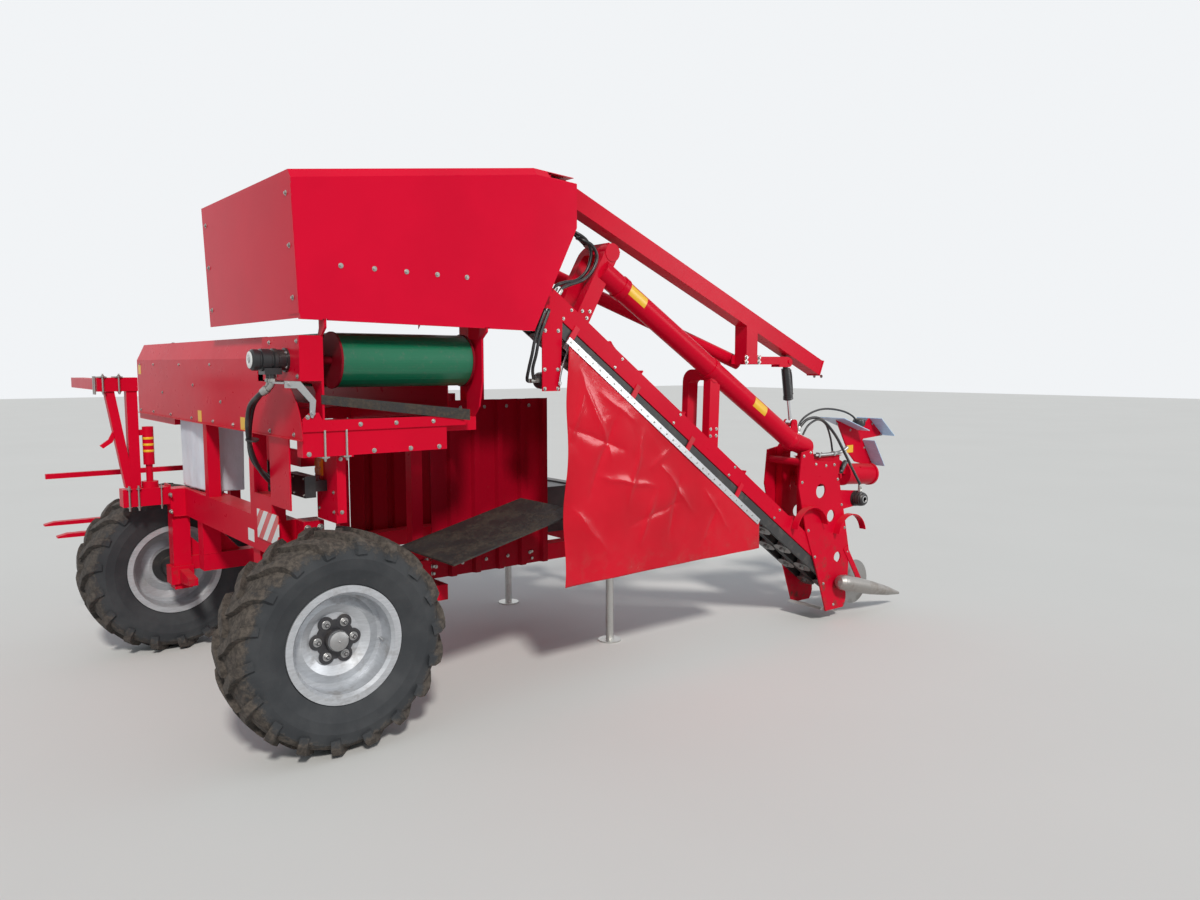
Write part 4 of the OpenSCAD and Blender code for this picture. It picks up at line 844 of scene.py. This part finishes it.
def welds():
    """Beads where tubes and plates of the frame meet."""
    s = Shape()
    joins = []
    for y in (-660, -540, 540, 660):
        joins += [[(-185, y, 1050), (-65, y, 1050)], [(-65, y, 820), (-185, y, 820)]]
    for x, side in ((-200, -1), (-290, 1)):
        joins += [[(x, side * 900, 1050), (-50, side * 900, 1050)],
                  [(-65, side * 594, 980), (75, side * 594, 820)]]
    joins += [[(1255, -660, 3170), (1375, -660, 3170)], [(1255, -660, 2546), (1255, -660, 2666)],
              [(-545, 950, 1265), (-475, 950, 1265)], [(-545, 950, 1955), (-475, 950, 1955)],
              [(820, -640, 832), (900, -640, 832)], [(-200, -640, 1252), (-120, -640, 1252)],
              [(-198, -1430, 1792), (640, -1430, 1792)]]
    rng = random.Random(4)
    for a, b in joins:
        a, b = Vector(a), Vector(b)
        n = max(4, int((b - a).length / 9))
        route = [a + (b - a) * i / n + Vector([rng.uniform(-1, 1) for _ in range(3)]) for i in range(n + 1)]
        s.sweep(route, 9, 8, steps=2, hump=lambda t: 0.82 + 0.18 * math.sin(t * 160))
    s.done("weld_beads", "frame", paint, "red_paint", 80)


def fold(u, v, seed):
    """A soft creased height between about -1 and 1."""
    p = Vector((u * 1.1, v * 0.8, seed))
    soft = noise.noise(p * 1.3) + 0.5 * noise.noise(p * 2.9)
    ridge = 1.0 - 2.2 * abs(noise.noise(Vector((u * 2.2 + v * 1.3, v * 0.7 - u * 0.5, seed + 7))))
    fine = noise.noise(Vector((u * 5.0 + v * 3.2, v * 1.7, seed + 3)))
    return 0.62 * soft + 0.30 * ridge + 0.14 * fine


def sheet_piece(name, rows, material, body, thick, replaces):
    """A cloth from rows of points, given a thickness."""
    mesh = bpy.data.meshes.new(name)
    n = len(rows[0])
    faces = [(r * n + c, r * n + c + 1, (r + 1) * n + c + 1, (r + 1) * n + c)
             for r in range(len(rows) - 1) for c in range(n - 1)]
    mesh.from_pydata([tuple(at(*p)) for row in rows for p in row], [], faces)
    mesh.materials.append(material)
    for f in mesh.polygons:
        f.use_smooth = True
    piece = bpy.data.objects.new(name, mesh)
    bpy.context.scene.collection.objects.link(piece)
    solid = piece.modifiers.new("thickness", "SOLIDIFY")
    solid.thickness, solid.offset = thick / 1000.0, 0.0
    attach(piece, body)
    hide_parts(*replaces)
    return piece


def crease(x, z, a, b, wide, high):
    """A sharp fold along the line from a to b, fading to its ends."""
    px, pz = b[0] - a[0], b[1] - a[1]
    length = math.hypot(px, pz)
    along = ((x - a[0]) * px + (z - a[1]) * pz) / length / length
    away = ((x - a[0]) * pz - (z - a[1]) * px) / length
    away += 14 * noise.noise(Vector((x / 130.0, z / 130.0, a[0] / 900.0)))
    fade = max(0.0, 1.0 - (2 * along - 1) ** 2)
    return high * fade * math.exp(-abs(away) / wide)


# Folds of the curtain, in millimetres: their two ends as x and z, their width and their height
CREASES = [
    ((1560, 2150), (1860, 1500), 26, 15), ((1900, 1850), (1640, 1250), 30, -14),
    ((2120, 1720), (1980, 1180), 24, 13), ((1470, 1760), (1980, 1560), 24, -12),
    ((2260, 1480), (2620, 1060), 26, 12), ((1700, 1420), (2260, 1300), 22, 11),
    ((2480, 1400), (2360, 900), 30, -13), ((1500, 1250), (1840, 860), 34, 14),
    ((2700, 1260), (2980, 900), 24, 10), ((1960, 1050), (2500, 1180), 22, -10),
    ((1640, 2020), (1500, 1650), 20, 12), ((2080, 900), (2240, 1280), 26, 13),
    ((2860, 1150), (2700, 820), 24, -11), ((2420, 1600), (2180, 1420), 18, 9),
    ((1720, 1980), (2060, 1760), 16, 9),
]


def between(a, b, t):
    """A number on the way from a to b."""
    return a + (b - a) * t


def curtain():
    """Tarpaulin that hangs from the lifter's rail, fixed above and free below."""
    top = ((1493, 2308), (3301, 959))
    foot = ((1440, 722), (3300, 742))
    down, across = 120, 170  # how finely it is divided
    rows = []
    for j in range(down + 1):
        v = j / down
        free = min(1.0, v * 3.6) ** 0.8
        row = []
        for i in range(across + 1):
            u = i / across
            x, z = (between(between(top[0][c], top[1][c], u), between(foot[0][c], foot[1][c], u), v)
                    for c in (0, 1))
            wave = 17 * fold(x / 1000.0, z / 1000.0, 2.0) + sum(crease(x, z, *c) for c in CREASES)
            hem = 7 * math.sin(x / 92.0 + 2.4 * noise.noise(Vector((x / 600.0, 1, 1)))) * max(0.0, v - 0.55)
            edge = 9 * math.exp(-u * 18) * math.sin(z / 120.0 + 1)
            row.append((x + edge * 0.8 * free, -1483 - (wave * 1.25 + hem + edge) * free * 0.9 + 4 * free, z))
        rows.append(row)
    piece = sheet_piece("curtain_cloth", rows, looks["curtain"], "elevator", 1.6, ["curtain"])
    outline = [top[0], top[1], foot[1], foot[0]]
    area = abs(sum(a[0] * b[1] - b[0] * a[1] for a, b in zip(outline, outline[1:] + outline[:1]))) / 2e6


def sleeve():
    """Canvas sleeve under the conveyor's bed, open below, with a crease down its rear side."""
    corners = [(-186, 1040), (-188, 730), (-150, 470), (-118, 428), (90, 428), (95, 560), (95, 900), (90, 1040),
               (60, 1046), (-150, 1046)]
    middle = Vector((-40, 740))
    ring = []
    for a, b in zip(corners, corners[1:] + corners[:1]):
        a, b = Vector(a), Vector(b)
        n = max(2, int((b - a).length / 14))
        ring += [a + (b - a) * i / n for i in range(n)]
    count = len(ring)
    for _ in range(3):
        ring = [ring[i] * 0.5 + (ring[i - 1] + ring[(i + 1) % count]) * 0.25 for i in range(count)]
    top, high, down = 1748, 482, 48
    rows = []
    for j in range(down + 1):
        v = j / down
        z = top - high * v
        row = []
        for i in range(count + 1):
            p = ring[i % count]
            out = (p - middle).normalized()
            s = p.y / 1000.0 if p.x < -60 else p.x / 1000.0 + 3
            d = -5 - 6 * v + 6.5 * fold(s * 2.4, z / 1000.0 * 1.2, 5.0) * min(1.0, v * 4 + 0.25)
            d += 3.5 * math.sin(s * 34 + 3 * noise.noise(Vector((s * 3, z / 500.0, 2)))) * min(1.0, v * 2)
            drop = 6 * noise.noise(Vector((s * 5, 0, 9))) * v
            row.append((p.x + out.x * d, p.y + out.y * d, z + drop))
        rows.append(row)
    piece = sheet_piece("canvas_cloth", rows, looks["canvas_sleeve"], "frame", 1.4,
                        ["canvas_sleeve"])
    length = sum((ring[i] - ring[i - 1]).length for i in range(count)) / 1000.0


bolts_and_clamps()
lifter_bolts()
wheel_nuts("wheel_nuts_right", "wheel_right", 0, -1)
wheel_nuts("wheel_nuts_left", "wheel_left", LEFT_WHEEL_X, 1)
labels()
tube_bands()
motor_bracket()
frame_hoses()
lifter_hoses()
head_trim()
lift_cylinder_trim()
welds()
curtain()
sleeve()


def studio():
    """Pale floor and backdrop, a sun and a soft panel."""
    mesh = bpy.data.meshes.new("floor")
    bm = bmesh.new()
    bmesh.ops.create_grid(bm, x_segments=1, y_segments=1, size=60.0)
    bm.to_mesh(mesh)
    bm.free()
    floor = bpy.data.objects.new("floor", mesh)
    bpy.context.scene.collection.objects.link(floor)
    f = Finish("pale_floor")
    mesh.materials.append(f.done(f.blend(f.noise(0.4), (0.62, 0.62, 0.61), (0.66, 0.66, 0.65)), 0.85,
                                 specular=0.1))

    # Seen straight, in gloss or through a clear part, the world is a pale backdrop; its light is softer
    world = bpy.data.worlds.new("studio")
    bpy.context.scene.world = world
    g = Graph(world)
    camera_ray, glossy, clear = [g.node("ShaderNodeLightPath", out=ray) for ray in
                                 ("Is Camera Ray", "Is Glossy Ray", "Is Transmission Ray")]
    seen = (camera_ray + glossy + clear).math("MINIMUM", 1.0)
    soft = g.node("ShaderNodeBackground", {}, {"Color": (0.86, 0.93, 1.0), "Strength": 0.50})
    pale = g.node("ShaderNodeBackground", {}, {"Color": (0.93, 0.95, 0.97), "Strength": 0.95})
    both = g.node("ShaderNodeMixShader", {}, {0: seen, 1: soft, 2: pale})
    g.node("ShaderNodeOutputWorld", {}, {"Surface": both})

    sun = bpy.data.lights.new("sun", "SUN")
    sun.energy, sun.angle, sun.color = 2.45, math.radians(7), (1.0, 0.96, 0.90)
    lamp = bpy.data.objects.new("sun", sun)
    bpy.context.scene.collection.objects.link(lamp)
    lamp.rotation_euler = (math.radians(50), 0.0, math.radians(-22))
    lamp.location = (0, 0, 8)

    # Soft panel low at the front right, which draws streaks of light on folds and tubes
    panel = bpy.data.lights.new("soft_panel", "AREA")
    panel.shape, panel.size, panel.size_y, panel.energy = "RECTANGLE", 2.4, 3.0, 190.0
    stand = bpy.data.objects.new("soft_panel", panel)
    bpy.context.scene.collection.objects.link(stand)
    stand.location = (5.6, -7.0, 3.4)
    stand.rotation_euler = (Vector((0.2, -1.8, 1.6)) - stand.location).to_track_quat("-Z", "Y").to_euler()
    stand.visible_camera, stand.visible_diffuse = False, False


studio()
bpy.context.scene.view_settings.view_transform = "Standard"
